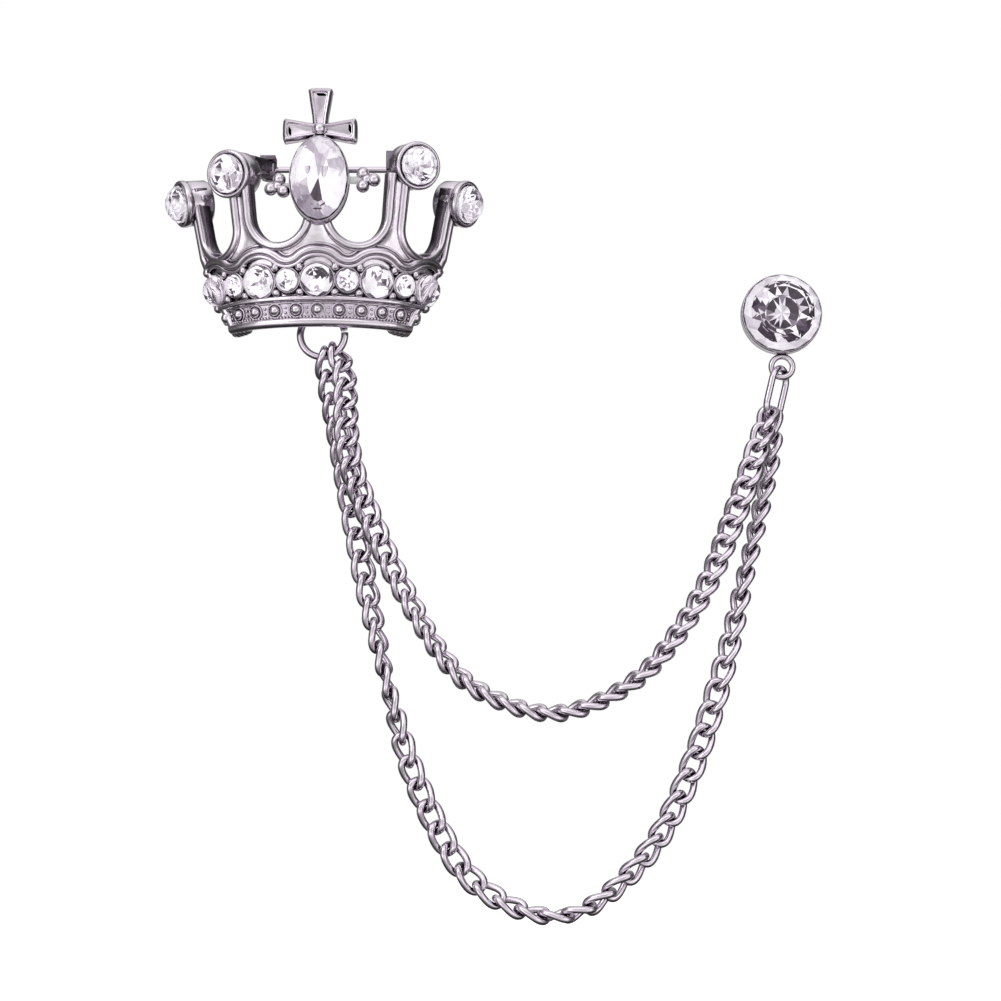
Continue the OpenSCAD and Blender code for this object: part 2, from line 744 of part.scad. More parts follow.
// Long link that carries both strands, hung in the stud's loop
module long_link() {
    straight = 2 * (long_half - long_r);
    color(metal)
        translate(long_top)
            rotate([0, long_lean, 0])
                rotate([0, 0, long_roll])
                    translate([0, 0, -long_r])
                        rotate([90, 0, 0]) {
                            wire_arc(long_r, long_wire_d / 2, 0, 180);
                            translate([0, -straight, 0]) wire_arc(long_r, long_wire_d / 2, 180, 180);
                            for (k = [-1, 1])
                                translate([k * long_r, 0, 0])
                                    rotate([90, 0, 0]) cylinder(h = straight, d = long_wire_d, $fn = 24);
                        }
}

module upper_chain()
    color(metal)
        strand(
            concat([ring_point(upper_start)], upper_route, [long_foot(upper_end)]),
            upper_roll, inner_links, ring_wire_d, long_wire_d
        );

module lower_chain()
    color(metal)
        strand(
            concat([ring_point(lower_start)], lower_route, [long_foot(lower_end)]),
            lower_roll, outer_links, ring_wire_d, long_wire_d
        );

// Stud: a shallow cup with its loop, and the post that goes through the lapel
module stud() {
    point_l = 1;
    color(metal) {
        difference() {
            translate(stud_c)
                rotate([-90, 0, 0]) {
                    cylinder(h = stud_depth - 0.3, d = stud_d);
                    translate([0, 0, stud_depth - 0.3]) cylinder(h = 0.3, d1 = stud_d, d2 = stud_d - 0.6);
                    cylinder(h = stud_depth + post_l - point_l, d = post_d);
                    translate([0, 0, stud_depth + post_l - point_l])
                        cylinder(h = point_l, d1 = post_d, d2 = 0.15);
                }
            translate(stud_c + [0, stud_seat, 0])
                rotate([90, 0, 0]) cylinder(h = 2 * stud_seat, d = stud_stone_d + 2 * seat_gap);
        }
        translate(loop_c) rotate([90, 0, 0]) wire_arc(loop_r, loop_wire_d / 2, 0, 360);
    }
}

// Clutch that holds the post behind the lapel
clutch_gap = 4;
module clutch() {
    front_y = stud_c.y + stud_depth + clutch_gap;
    color(metal)
        translate([stud_c.x, front_y, stud_c.z])
            rotate([-90, 0, 0])
                difference() {
                    union() {
                        cylinder(h = 0.5, d = clutch_d);
                        cylinder(h = clutch_t, d = 0.62 * clutch_d);
                    }
                    translate([0, 0, -0.5]) cylinder(h = clutch_t + 1, d = post_d + 0.1);
                }
}

crown();
pin_stem();
oval_stone();
for (i = [1:4]) cup_stone(i - 1);
for (i = [1:9]) row_stone(i - 5);
jump_ring();
upper_chain();
lower_chain();
long_link();
stud();
stud_stone();
clutch();
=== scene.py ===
# %% [markdown]
# Lapel chain: a small crown brooch with clear stones, a round crystal stud, and two strands of
# curb chain that join them. This lesson dresses the fixed model with finer shapes and with
# polished, darkened metal. Everything is in metres and in the model's own frame: +Z is up, +X runs
# from the brooch to the stud, and -Y is the side that is seen. The origin is the brooch pin.

# %% Load the model
import random
from math import asin, atan2, copysign, cos, pi, radians, sin, sqrt, tan, tau

import bmesh
import bpy
from mathutils import Matrix, Vector, noise
from mathutils.geometry import delaunay_2d_cdt
from mathutils.kdtree import KDTree


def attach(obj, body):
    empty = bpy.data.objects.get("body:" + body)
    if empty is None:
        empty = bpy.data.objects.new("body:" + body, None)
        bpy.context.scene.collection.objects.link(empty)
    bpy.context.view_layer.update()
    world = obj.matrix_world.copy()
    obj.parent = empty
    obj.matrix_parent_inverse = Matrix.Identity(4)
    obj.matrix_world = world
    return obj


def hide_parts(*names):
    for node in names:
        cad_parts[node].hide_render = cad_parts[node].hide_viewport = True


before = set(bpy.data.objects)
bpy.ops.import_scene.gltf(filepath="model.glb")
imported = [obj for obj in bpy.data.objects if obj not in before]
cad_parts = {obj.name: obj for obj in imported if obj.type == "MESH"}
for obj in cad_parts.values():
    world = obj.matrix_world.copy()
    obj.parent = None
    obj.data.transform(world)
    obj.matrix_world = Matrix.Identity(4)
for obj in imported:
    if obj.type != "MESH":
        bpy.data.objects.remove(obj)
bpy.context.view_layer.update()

MM = 0.001

# %% [markdown]
# The photograph was taken from a little below the brooch, looking up by 8 degrees. A long lens
# from 200 mm away keeps the crown's front and the flat loop of chain in proportion.

# %% Camera
AIM = Vector((19.9, 0.0, -37.7)) * MM
DISTANCE = 200 * MM
RISE = radians(8)
camera_data = bpy.data.cameras.new("camera")
camera_data.angle = radians(30.8)
camera_data.clip_start = 0.01
camera = bpy.data.objects.new("camera", camera_data)
bpy.context.scene.collection.objects.link(camera)
camera.location = AIM - DISTANCE * Vector((0, cos(RISE), sin(RISE)))
camera.rotation_euler = (radians(90) + RISE, 0, 0)
bpy.context.scene.camera = camera
print("camera at", [round(v / MM, 1) for v in camera.location], "mm")

# %% [markdown]
# Every piece is made from points in millimetres, which are easier to read, and is turned into
# metres once, here. The piece's object stays at the origin and the place is in its mesh.

# %% Helpers for pieces


def make_piece(name, points, faces, material=None, edges=(), smooth=True):
    mesh = bpy.data.meshes.new(name)
    mesh.from_pydata([Vector(p) * MM for p in points], list(edges), [tuple(f) for f in faces])
    mesh.polygons.foreach_set("use_smooth", [smooth] * len(mesh.polygons))
    if material:
        mesh.materials.append(material)
    piece = bpy.data.objects.new(name, mesh)
    bpy.context.scene.collection.objects.link(piece)
    return piece


def place_piece(piece, body="brooch", stands_for=()):
    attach(piece, body)
    if stands_for:
        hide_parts(*stands_for)
    print(piece.name, len(piece.data.polygons), "faces")
    return piece


def face_outwards(piece, merge=0.0):
    shape = bmesh.new()
    shape.from_mesh(piece.data)
    if merge:
        bmesh.ops.remove_doubles(shape, verts=shape.verts, dist=merge * MM)
    bmesh.ops.recalc_face_normals(shape, faces=shape.faces)
    shape.to_mesh(piece.data)
    shape.free()
    return piece


class Shape:
    """Points and faces that grow into one piece."""

    def __init__(self):
        self.points, self.faces = [], []

    def add(self, points, faces, place=Matrix.Identity(4)):
        start = len(self.points)
        self.points += [place @ Vector(p) for p in points]
        self.faces += [[start + i for i in f] for f in faces]

    def piece(self, name, material, smooth=True):
        return make_piece(name, self.points, self.faces, material, smooth=smooth)


# %% [markdown]
# The metal is a polished white metal that was darkened and then rubbed bright again. Its colour is
# darkened in the recesses, partly as oxide and partly as painted shade, so recesses come out nearly black,
# and edges and domes shine. Ambient occlusion finds the recesses, a soft noise breaks the darkening up,
# and two bumps give the faint ripple of cast metal and fine scratches.

# %% Metal


def node(tree, kind, **values):
    made = tree.nodes.new(kind)
    for key, value in values.items():
        setattr(made, key, value)
    return made


def ramp(tree, factor, stops):
    made = node(tree, "ShaderNodeValToRGB")
    elements = made.color_ramp.elements
    while len(elements) < len(stops):
        elements.new(0.5)
    for element, (position, colour) in zip(elements, stops):
        element.position = position
        element.color = (*colour, 1) if len(colour) == 3 else colour
    tree.links.new(factor, made.inputs[0])
    return made.outputs[0]


def grey(value):
    return (value, value, value)


def math_node(tree, operation, *values):
    made = node(tree, "ShaderNodeMath", operation=operation)
    for socket, value in zip(made.inputs, values):
        if isinstance(value, float):
            socket.default_value = value
        else:
            tree.links.new(value, socket)
    return made.outputs[0]


def new_material(name):
    made = bpy.data.materials.new(name)
    made.use_nodes = True
    return made, made.node_tree, made.node_tree.nodes["Principled BSDF"]


def object_place(tree):
    return node(tree, "ShaderNodeTexCoord").outputs["Object"]


def noise_at(tree, place, scale, detail=2.0):
    made = node(tree, "ShaderNodeTexNoise")
    made.inputs["Scale"].default_value = scale
    made.inputs["Detail"].default_value = detail
    tree.links.new(place, made.inputs["Vector"])
    return made.outputs["Fac"]


def bump(tree, height, strength, depth, below=None):
    """Bump of a depth in millimetres, on top of another one where there is one."""
    made = node(tree, "ShaderNodeBump")
    made.inputs["Strength"].default_value = strength
    made.inputs["Distance"].default_value = depth * MM
    tree.links.new(height, made.inputs["Height"])
    if below:
        tree.links.new(below, made.inputs["Normal"])
    return made.outputs[0]


OXIDE_AND_SHADE_DARK = (0.075, 0.052, 0.082)


def metal(name, bright, rough, recess, ripple, shade):
    """Metal whose colour is darkened in recesses, partly oxide and partly painted shade; recesses are looked
    for within recess millimetres.
    """
    made, tree, surface = new_material(name)
    link = tree.links.new
    surface.inputs["Metallic"].default_value = 1.0
    place = object_place(tree)
    hollow = node(tree, "ShaderNodeAmbientOcclusion", samples=8)
    hollow.inputs["Distance"].default_value = recess * MM
    clouds = noise_at(tree, place, 700, 4)
    # painted shade and oxide: ambient occlusion darkens the colour in recesses, and shade sets where it turns
    # bright
    total = math_node(tree, "ADD", hollow.outputs["AO"], math_node(tree, "MULTIPLY_ADD", clouds, 0.35, -0.17))
    middle = tuple(b * 0.62 + d * 0.38 for b, d in zip(bright, OXIDE_AND_SHADE_DARK))
    colour = ramp(tree, total, [(0.3, OXIDE_AND_SHADE_DARK), (shade, middle), (shade + 0.25, bright)])
    link(colour, surface.inputs["Base Color"])
    wear = noise_at(tree, place, 1600, 3)
    worn = ramp(tree, wear, [(0.3, grey(rough * 0.7)), (0.75, grey(rough * 1.6))])
    link(worn, surface.inputs["Roughness"])
    along = node(tree, "ShaderNodeMapping")
    along.inputs["Scale"].default_value = (1, 1, 9)
    along.inputs["Rotation"].default_value = (0.4, 0.9, 0.2)
    link(place, along.inputs["Vector"])
    scratches = bump(tree, noise_at(tree, along.outputs[0], 2500), 0.05, 0.05)
    link(bump(tree, clouds, ripple, 0.3, scratches), surface.inputs["Normal"])
    return made


cast_metal = metal("cast_metal", (0.86, 0.785, 0.87), rough=0.16, recess=0.8, ripple=0.16, shade=0.52)
band_metal = metal("band_metal", (0.8, 0.71, 0.82), rough=0.24, recess=0.5, ripple=0.5, shade=0.5)
wire_metal = metal("wire_metal", (0.87, 0.785, 0.885), rough=0.14, recess=0.7, ripple=0.06, shade=0.5)
# painted light: a lighter copy of the cast metal, with less darkening in recesses, for the wall's face
wall_painted_light_metal = metal("wall_painted_light_metal", (0.95, 0.88, 0.955), rough=0.2, recess=0.5, ripple=0.2, shade=0.3)
# painted shade: a much darker copy of the metal, for the wall's cut sides, the pin's bracket and catch, and
# the trefoils' bars
painted_shade_metal = metal("painted_shade_metal", (0.24, 0.2, 0.25), rough=0.3, recess=1.2, ripple=0.6, shade=0.66)
# painted shade: a darker copy of the metal for the back of the crown's wall
back_painted_shade_metal = metal("back_painted_shade_metal", (0.5, 0.44, 0.52), rough=0.4, recess=1.2, ripple=0.5, shade=0.5)
print("metals:", [made.name for made in bpy.data.materials if made.name.endswith("_metal")])

# %% [markdown]
# The stones are clear cut crystals with foil behind them. Each is made as it is: a clear crown with
# facets, and under it a faceted foil whose facets are painted with reflections in tones from white to
# dark plum, and which has a painted glow. The clear part bends the light, so that the foil's facets
# break up and move as the view moves.

# %% Crystal and foil


def clear_crystal():
    made, tree, surface = new_material("clear_crystal")
    link = tree.links.new
    surface.inputs["Transmission Weight"].default_value = 1.0
    surface.inputs["IOR"].default_value = 1.56
    wear = noise_at(tree, object_place(tree), 900)
    link(ramp(tree, wear, [(0.45, grey(0.0)), (0.8, grey(0.06))]), surface.inputs["Roughness"])
    link(ramp(tree, wear, [(0.3, (1, 1, 1)), (0.8, (0.95, 0.93, 0.97))]), surface.inputs["Base Color"])
    return made


def painted_light_foil():
    """Foil with the painted reflection tone that is stored on each facet, a little uneven within it, and a
    painted glow in the same colour.
    """
    made, tree, surface = new_material("painted_light_foil")
    link = tree.links.new
    surface.inputs["Metallic"].default_value = 0.3
    # painted glow: the foil gives off light in its own colour, though it is no lamp
    surface.inputs["Emission Strength"].default_value = 0.55
    wear = noise_at(tree, object_place(tree), 1500)
    painted_reflection = node(tree, "ShaderNodeAttribute", attribute_name="painted_reflection").outputs["Fac"]
    mixed = math_node(tree, "MULTIPLY_ADD", wear, 0.16, math_node(tree, "SUBTRACT", painted_reflection, 0.08))
    colour = ramp(tree, mixed, [
        (0.0, (0.02, 0.012, 0.022)), (0.3, (0.1, 0.07, 0.105)), (0.58, (0.45, 0.4, 0.47)),
        (0.82, (0.93, 0.9, 0.94)),
    ])
    link(colour, surface.inputs["Base Color"])
    link(colour, surface.inputs["Emission Color"])
    link(ramp(tree, wear, [(0.3, grey(0.08)), (0.8, grey(0.22))]), surface.inputs["Roughness"])
    return made


crystal = clear_crystal()
foil = painted_light_foil()
print("stones use", crystal.name, "and", foil.name)

# %% [markdown]
# The crown is a flared wall whose plan is a wide front arc and two tighter side arcs, as in the
# model. A place on it is given by s, the distance round the row of stones, by its height z and by
# how far it stands out.

# %% Places on the crown
FRONT_R, SIDE_R = 18.9, 11.1
FRONT_SHARE = 0.352
LEAN_ANGLE = radians(12)
LEAN = tan(LEAN_ANGLE)
ROW_Z, BAND_Z = -14.3, -19.2
WALL_T = 1.5
FRONT_HALF = asin(FRONT_SHARE)
FRONT_C = Vector((0, -6 + FRONT_R))
SIDE_C = FRONT_C + (FRONT_R - SIDE_R) * Vector((FRONT_SHARE, -sqrt(1 - FRONT_SHARE**2)))
FRONT_S = FRONT_R * FRONT_HALF


def angle_at(s):
    if abs(s) <= FRONT_S:
        return s / FRONT_R
    return copysign(FRONT_HALF + (abs(s) - FRONT_S) / SIDE_R, s)


def wall_at(angle, z, out=0.0):
    front = abs(angle) <= FRONT_HALF
    centre = FRONT_C if front else Vector((copysign(SIDE_C.x, angle), SIDE_C.y))
    r = (FRONT_R if front else SIDE_R) + (z - ROW_Z) * LEAN
    r += out * cos(LEAN_ANGLE)
    low = out * sin(LEAN_ANGLE)
    return Vector((centre.x + r * sin(angle), centre.y - r * cos(angle), z - low))


def on_wall(s, z, out=0.0):
    return wall_at(angle_at(s), z, out)


def wall_place(angle, z, out=0.0):
    """Matrix that lays a shape on the wall: +Z outwards, +Y up the wall, +X round the crown."""
    flat, drop = cos(LEAN_ANGLE), sin(LEAN_ANGLE)
    across = Vector((cos(angle), sin(angle), 0))
    outwards = Vector((sin(angle) * flat, -cos(angle) * flat, -drop))
    up = outwards.cross(across)
    place = Matrix((across, up, outwards)).transposed().to_4x4()
    place.translation = wall_at(angle, z, out)
    return place


print("front arc reaches s =", round(FRONT_S, 2), "mm")

# %% [markdown]
# Two inner gaps and two outer gaps leave five posts. Each gap is open at the top and has a round
# foot. The curved wall is easiest to draw flat, as an outline in s and z. Only the right half is
# drawn, and the left half is its mirror image.

# %% Outline of the wall
GAPS = [(1.3, 7.0, 4.0), (9.2, 14.2, 3.5)]
END_S, END_FOOT_S, TOP_Z = 15.8, 11.6, -2.6
SHOULDER_Z = ROW_Z + 4


def gap_foot(low_s, high_s, height):
    """Middle, half width and foot of a gap: its height at the round foot's centre, and its radius."""
    half = (angle_at(high_s) - angle_at(low_s)) / 2
    r = ((FRONT_R if low_s < FRONT_S else SIDE_R) + height * LEAN) * sin(half)
    return (low_s + high_s) / 2, (high_s - low_s) / 2, ROW_Z + height + r, r


def gap_line(gap, off=0.0, steps=24, legs=20):
    """The gap's outline from the top of its right side down and up to the top of its left side."""
    middle, half, z, r = gap_foot(*gap)
    line = [(middle + half + off, TOP_Z + (z - TOP_Z) * i / legs) for i in range(legs)]
    line += [
        (middle + (half + off) * cos(a), z - (r + off) * sin(a))
        for a in (pi * i / steps for i in range(steps + 1))
    ]
    return line + [(middle - half - off, z + (TOP_Z - z) * (i + 1) / legs) for i in range(legs)]


def mirrored(line):
    return [(-s, z) for s, z in reversed(line)]


def wall_outline():
    right = [(END_FOOT_S * i / 24, BAND_Z) for i in range(1, 25)]
    right += [
        (END_FOOT_S + (END_S - END_FOOT_S) * i / 20, BAND_Z + (SHOULDER_Z - BAND_Z) * i / 20)
        for i in range(1, 21)
    ]
    right += [(END_S, SHOULDER_Z + (TOP_Z - SHOULDER_Z) * i / 14) for i in range(1, 15)]
    right += gap_line(GAPS[1]) + gap_line(GAPS[0])
    return right + mirrored(right)


outline = wall_outline()
print("outline of the wall:", len(outline), "points")

# %% [markdown]
# The outline is filled with a constrained triangulation over a fine net of points, and then rolled
# onto the arcs. The net lets the face sink to a shallow dish between the rims, as a cast and polished
# face does. The front, the band, the cut sides and the back each get a finish of their own: the front a
# lighter copy of the metal as painted light, and the cut sides and the back darker copies as painted shade.

# %% Wall of the crown
STEP = 0.27
DISH, DISH_REACH = 0.34, 1.3
BAND_H = 3.4


def inside(point, loop):
    hit, j = False, len(loop) - 1
    for i, (x, y) in enumerate(loop):
        x2, y2 = loop[j]
        if (y > point[1]) != (y2 > point[1]) and point[0] < (x2 - x) * (point[1] - y) / (y2 - y) + x:
            hit = not hit
        j = i
    return hit


def crown_wall():
    edge_tree = KDTree(len(outline))
    for i, (s, z) in enumerate(outline):
        edge_tree.insert((s, z, 0), i)
    edge_tree.balance()
    inner = []
    rows, columns = int((TOP_Z - BAND_Z) / STEP), int(2 * END_S / STEP)
    for row in range(rows + 1):
        for column in range(columns + 1):
            p = (-END_S + (column + (row % 2) / 2) * STEP, BAND_Z + row * STEP)
            if inside(p, outline) and edge_tree.find((*p, 0))[2] > STEP * 0.5:
                inner.append(p)
    count = len(outline)
    points, _, faces, _, _, _ = delaunay_2d_cdt(
        [Vector(p) for p in outline + inner], [], [list(range(count))], 1, 1e-6
    )
    front, back = [], []
    for s, z in points:
        near = edge_tree.find((s, z, 0))[2]
        dish = -DISH * min(1, near / DISH_REACH) if z > BAND_Z + BAND_H else -0.1
        wave = 0.03 * noise.noise((s * 1.1, z * 1.1, 0))
        front.append(on_wall(s, z, dish + wave))
        back.append(on_wall(s, z, -WALL_T))
    shape = Shape()
    sides = {}
    for a, b, c in faces:
        for i, j in ((a, b), (b, c), (c, a)):
            sides[(i, j)] = True
    rim = [(i, j) for i, j in sides if (j, i) not in sides]
    n = len(front)
    walls = [(i, j, j + n, i + n) for i, j in rim]
    behind = [tuple(n + i for i in reversed(f)) for f in faces]
    shape.add(front + back, [tuple(f) for f in faces] + behind + walls)
    # painted light on the front: the lighter copy of the metal
    piece = shape.piece("crown_wall", wall_painted_light_metal)
    # painted shade on the cut sides and the back: darker copies of the metal
    for finish in (painted_shade_metal, band_metal, back_painted_shade_metal):
        piece.data.materials.append(finish)
    fronts = [2 if max(points[i][1] for i in f) < BAND_Z + 3 else 0 for f in faces]
    piece.data.polygons.foreach_set("material_index", fronts + [3] * len(faces) + [1] * len(walls))
    return face_outwards(piece)


wall = crown_wall()

# %% [markdown]
# Rims, rings and chain links are all round wire that follows a line. One Geometry Nodes tree makes
# them all: the line becomes a curve, and a round section is swept along it. Its radius, its number
# of sides and its material are named inputs.

# %% Wire along a line


def new_tree(name, inputs):
    tree = bpy.data.node_groups.new(name, "GeometryNodeTree")
    tree.interface.new_socket("Geometry", in_out="INPUT", socket_type="NodeSocketGeometry")
    for label, kind in inputs:
        tree.interface.new_socket(label, in_out="INPUT", socket_type=kind)
    tree.interface.new_socket("Geometry", in_out="OUTPUT", socket_type="NodeSocketGeometry")
    return tree, node(tree, "NodeGroupInput"), node(tree, "NodeGroupOutput")


def end_tree(tree, start, end, shape):
    """Smooth shading, real geometry in place of instances, and the material from the tree's input."""
    for kind in ("GeometryNodeSetShadeSmooth", "GeometryNodeRealizeInstances", "GeometryNodeSetMaterial"):
        step = tree.nodes.new(kind)
        tree.links.new(shape, step.inputs[0])
        shape = step.outputs[0]
    tree.links.new(start.outputs["Material"], step.inputs["Material"])
    tree.links.new(shape, end.inputs[0])
    return tree


def run_tree(piece, tree, values):
    """Runs a tree on a piece with its inputs set by identifier, and keeps the result as a plain mesh."""
    modifier = piece.modifiers.new("nodes", "NODES")
    modifier.node_group = tree
    known = {item.name: item.identifier for item in tree.interface.items_tree if item.in_out == "INPUT"}
    for label, value in values.items():
        modifier[known[label]] = value
    seen = piece.evaluated_get(bpy.context.evaluated_depsgraph_get())
    mesh = bpy.data.meshes.new_from_object(seen)
    piece.modifiers.remove(modifier)
    old, piece.data = piece.data, mesh
    bpy.data.meshes.remove(old)
    mesh.name = piece.name
    return piece


def wire_tree():
    tree, start, end = new_tree("wire_along_line", [
        ("Wire radius", "NodeSocketFloat"), ("Sides", "NodeSocketInt"), ("Material", "NodeSocketMaterial"),
    ])
    link = tree.links.new
    line = node(tree, "GeometryNodeMeshToCurve")
    section = node(tree, "GeometryNodeCurvePrimitiveCircle")
    sweep = node(tree, "GeometryNodeCurveToMesh")
    link(start.outputs["Geometry"], line.inputs["Mesh"])
    link(start.outputs["Wire radius"], section.inputs["Radius"])
    link(start.outputs["Sides"], section.inputs["Resolution"])
    link(line.outputs[0], sweep.inputs["Curve"])
    link(section.outputs[0], sweep.inputs["Profile Curve"])
    sweep.inputs["Fill Caps"].default_value = True
    return end_tree(tree, start, end, sweep.outputs[0])


WIRE = wire_tree()


def wires(name, lines, radius, material, sides=12, closed=False):
    """Wire along each of the lines, which are lists of places in millimetres."""
    points, edges = [], []
    for line in lines:
        start, count = len(points), len(line)
        points += line
        edges += [(start + i, start + i + 1) for i in range(count - 1)]
        if closed:
            edges.append((start + count - 1, start))
    piece = make_piece(name, points, [], edges=edges)
    run_tree(piece, WIRE, {"Wire radius": radius * MM, "Sides": sides, "Material": material})
    return face_outwards(piece, 0.0005)


def join(name, pieces):
    """One piece from several, with the first one's object."""
    first = pieces[0]
    shape = bmesh.new()
    for piece in pieces:
        shape.from_mesh(piece.data)
    shape.to_mesh(first.data)
    shape.free()
    for piece in pieces[1:]:
        mesh = piece.data
        bpy.data.objects.remove(piece)
        bpy.data.meshes.remove(mesh)
    first.name = first.data.name = name
    return first


# %% [markdown]
# A smooth round rim borders each gap and each end of the wall. It follows the same outline, drawn in
# by a little, and sinks halfway into the face, so that it reads as one casting with it.

# %% Rims of the gaps and of the wall's ends
GAP_RIM_IN, END_RIM_IN = 0.42, 0.4


def both_sides(line):
    return [line, mirrored(line)]


def rolled(lines, out):
    return [[on_wall(s, z, out) for s, z in line] for line in lines]


gap_lines = [line for gap in GAPS for line in both_sides(gap_line(gap, GAP_RIM_IN))]
end_line = [(END_S - END_RIM_IN, TOP_Z + (SHOULDER_Z - TOP_Z) * i / 12) for i in range(12)]
end_line += [
    (END_S - END_RIM_IN + (END_FOOT_S - END_S) * i / 16, SHOULDER_Z + (BAND_Z + 0.3 - SHOULDER_Z) * i / 16)
    for i in range(17)
]
rims = join("gap_rims", [
    wires("a", rolled(gap_lines, -0.26), 0.52, cast_metal, 20),
    wires("b", rolled(both_sides(end_line), -0.2), 0.5, cast_metal, 16),
])

# %% [markdown]
# Three wavy rims run over the stones, the middle one the thickest. They rise round each large stone
# and dip over each small one, so each is a chain of circle arcs. A parallel line keeps the arcs'
# centres and changes their radii. Straight rims border the band below.

# %% Wavy rims
PITCH = 3.25
WAVE_R, WAVE_DIP = 2.75, 1.5
DIP_H = (PITCH**2 - (WAVE_R - WAVE_DIP) ** 2) / (2 * (WAVE_R - WAVE_DIP))
DIP_R = DIP_H - WAVE_DIP
WAVE_ANGLE = atan2(DIP_H, PITCH)


def wave_line(off):
    line = []
    for i in range(-4, 5):
        for k in range(13):
            if i % 2 == 0:
                a = pi - WAVE_ANGLE - (pi - 2 * WAVE_ANGLE) * k / 12
                s, h = (WAVE_R + off) * cos(a), (WAVE_R + off) * sin(a)
            else:
                a = pi + WAVE_ANGLE + (pi - 2 * WAVE_ANGLE) * k / 12
                s, h = (DIP_R - off) * cos(a), DIP_H + (DIP_R - off) * sin(a)
            if k or i == -4:
                line.append((i * PITCH + s, ROW_Z + h * cos(LEAN_ANGLE)))
    return line


waves = join("wave_rims", [
    wires("a", rolled([wave_line(-0.05)], 0.1), 0.22, cast_metal),
    wires("b", rolled([wave_line(0.56)], -0.18), 0.5, cast_metal, 20),
    wires("c", rolled([wave_line(1.22)], -0.22), 0.16, cast_metal, 8),
])


def level(z, reach):
    return [(-reach + 2 * reach * i / 60, z) for i in range(61)]


bands = join("band_rims", [
    wires("a", rolled([level(BAND_Z + 0.42, 11.6)], -0.18), 0.55, cast_metal, 20),
    wires("b", rolled([level(BAND_Z + 2.5, 12.8)], -0.08), 0.13, cast_metal, 8),
    wires("c", rolled([level(BAND_Z + 2.92, 13.1)], 0.0), 0.36, cast_metal, 16),
])

# %% [markdown]
# Beads are the other thing that repeats: a row of round bosses in the band, small grains between
# them, the prongs that hold the stones, and larger beads at the two ends. A second tree puts a
# ball on each point. The point's size is stored on it, so that one tree makes them all.

# %% Beads on points


def bead_tree():
    tree, start, end = new_tree("beads_on_points", [
        ("Segments", "NodeSocketInt"), ("Rings", "NodeSocketInt"), ("Material", "NodeSocketMaterial"),
    ])
    link = tree.links.new
    ball = node(tree, "GeometryNodeMeshUVSphere")
    ball.inputs["Radius"].default_value = 1.0
    size = node(tree, "GeometryNodeInputNamedAttribute")
    size.data_type = "FLOAT"
    size.inputs["Name"].default_value = "size"
    place = node(tree, "GeometryNodeInstanceOnPoints")
    link(start.outputs["Geometry"], place.inputs["Points"])
    link(start.outputs["Segments"], ball.inputs["Segments"])
    link(start.outputs["Rings"], ball.inputs["Rings"])
    link(ball.outputs["Mesh"], place.inputs["Instance"])
    link(size.outputs["Attribute"], place.inputs["Scale"])
    return end_tree(tree, start, end, place.outputs[0])


BEADS = bead_tree()


def beads(name, places, material, segments=14, rings=9):
    """A ball at each of the places, which are pairs of a point and a radius in millimetres."""
    piece = make_piece(name, [p for p, _ in places], [])
    size = piece.data.attributes.new("size", "FLOAT", "POINT")
    size.data.foreach_set("value", [r * MM for _, r in places])
    return run_tree(piece, BEADS, {"Segments": segments, "Rings": rings, "Material": material})


BEAD_S = [0, 2.45, 4.95, 7.4, 9.8, 12.1]
BOSS_Z = BAND_Z + 1.7


def bead_places():
    places = []
    for i in range(-5, 6):
        s = copysign(BEAD_S[abs(i)], i)
        places.append((on_wall(s, BOSS_Z, 0.02), 0.58))
    for i in range(5):
        for side in (-1, 1):
            s = side * (BEAD_S[i] + BEAD_S[i + 1]) / 2
            places += [(on_wall(s, BOSS_Z + up, 0.0), 0.15) for up in (-0.26, 0.26)]
    for i in range(4):
        nearer = 0.28 if i % 2 == 0 else -0.28
        for side in (-1, 1):
            for up in (-1, 1):
                s = side * (i * PITCH + PITCH / 2 + nearer)
                places.append((on_wall(s, ROW_Z + up * 1.35, 0.12), 0.46))
            s = side * (i * PITCH + PITCH / 2 + nearer * 0.4)
            grains = ((1.98, 0.3), (0.62, 0.28), (-0.62, 0.28))
            places += [(on_wall(s, ROW_Z + h, 0.02), r) for h, r in grains]
    places += [(on_wall(-11.7 + 0.39 * i, BAND_Z + 0.98, -0.04), 0.16) for i in range(61)]
    for side in (-1, 1):
        places += [(on_wall(side * s, ROW_Z + h, 0), 0.56) for s, h in ((14.6, 2.3), (13.4, -1.9))]
    return places


def boss_ring(i, r=0.8, steps=28):
    """A thin ring round a boss of the band."""
    s = copysign(BEAD_S[abs(i)], i)
    angles = [tau * k / steps for k in range(steps)]
    return [on_wall(s + r * cos(a), BOSS_Z + 0.74 * sin(a), -0.02) for a in angles]


crown_beads = beads("crown_beads", bead_places(), cast_metal)
boss_rings = wires("boss_rings", [boss_ring(i) for i in range(-5, 6)], 0.1, band_metal, 8, closed=True)
foot_lumps = beads("foot_lumps", [
    (on_wall(side * s, BAND_Z + 0.05, -0.62), r)
    for side in (-1, 1) for s, r in ((9.2, 0.5), (9.7, 0.6), (10.3, 0.64), (10.9, 0.66), (11.4, 0.6))
], cast_metal, 24, 14)

# %% [markdown]
# Cups and settings are turned shapes: a section that goes round an axis. The section here is a list
# of offsets from the rim and heights, so that the same helper makes round cups and the oval setting.

# %% Turned shapes


def turned(shape, section, width, height, place, steps=48):
    """Adds a section, as offsets from an oval line and heights, turned round the oval's middle."""
    points, faces = [], []
    count = len(section)
    for k in range(steps):
        a = tau * k / steps
        for off, h in section:
            points.append((max(width / 2 + off, 0) * sin(a), max(height / 2 + off, 0) * cos(a), h))
    for k in range(steps):
        m = (k + 1) % steps
        for i in range(count - 1):
            faces.append((k * count + i, k * count + i + 1, m * count + i + 1, m * count + i))
    shape.add(points, faces, place)


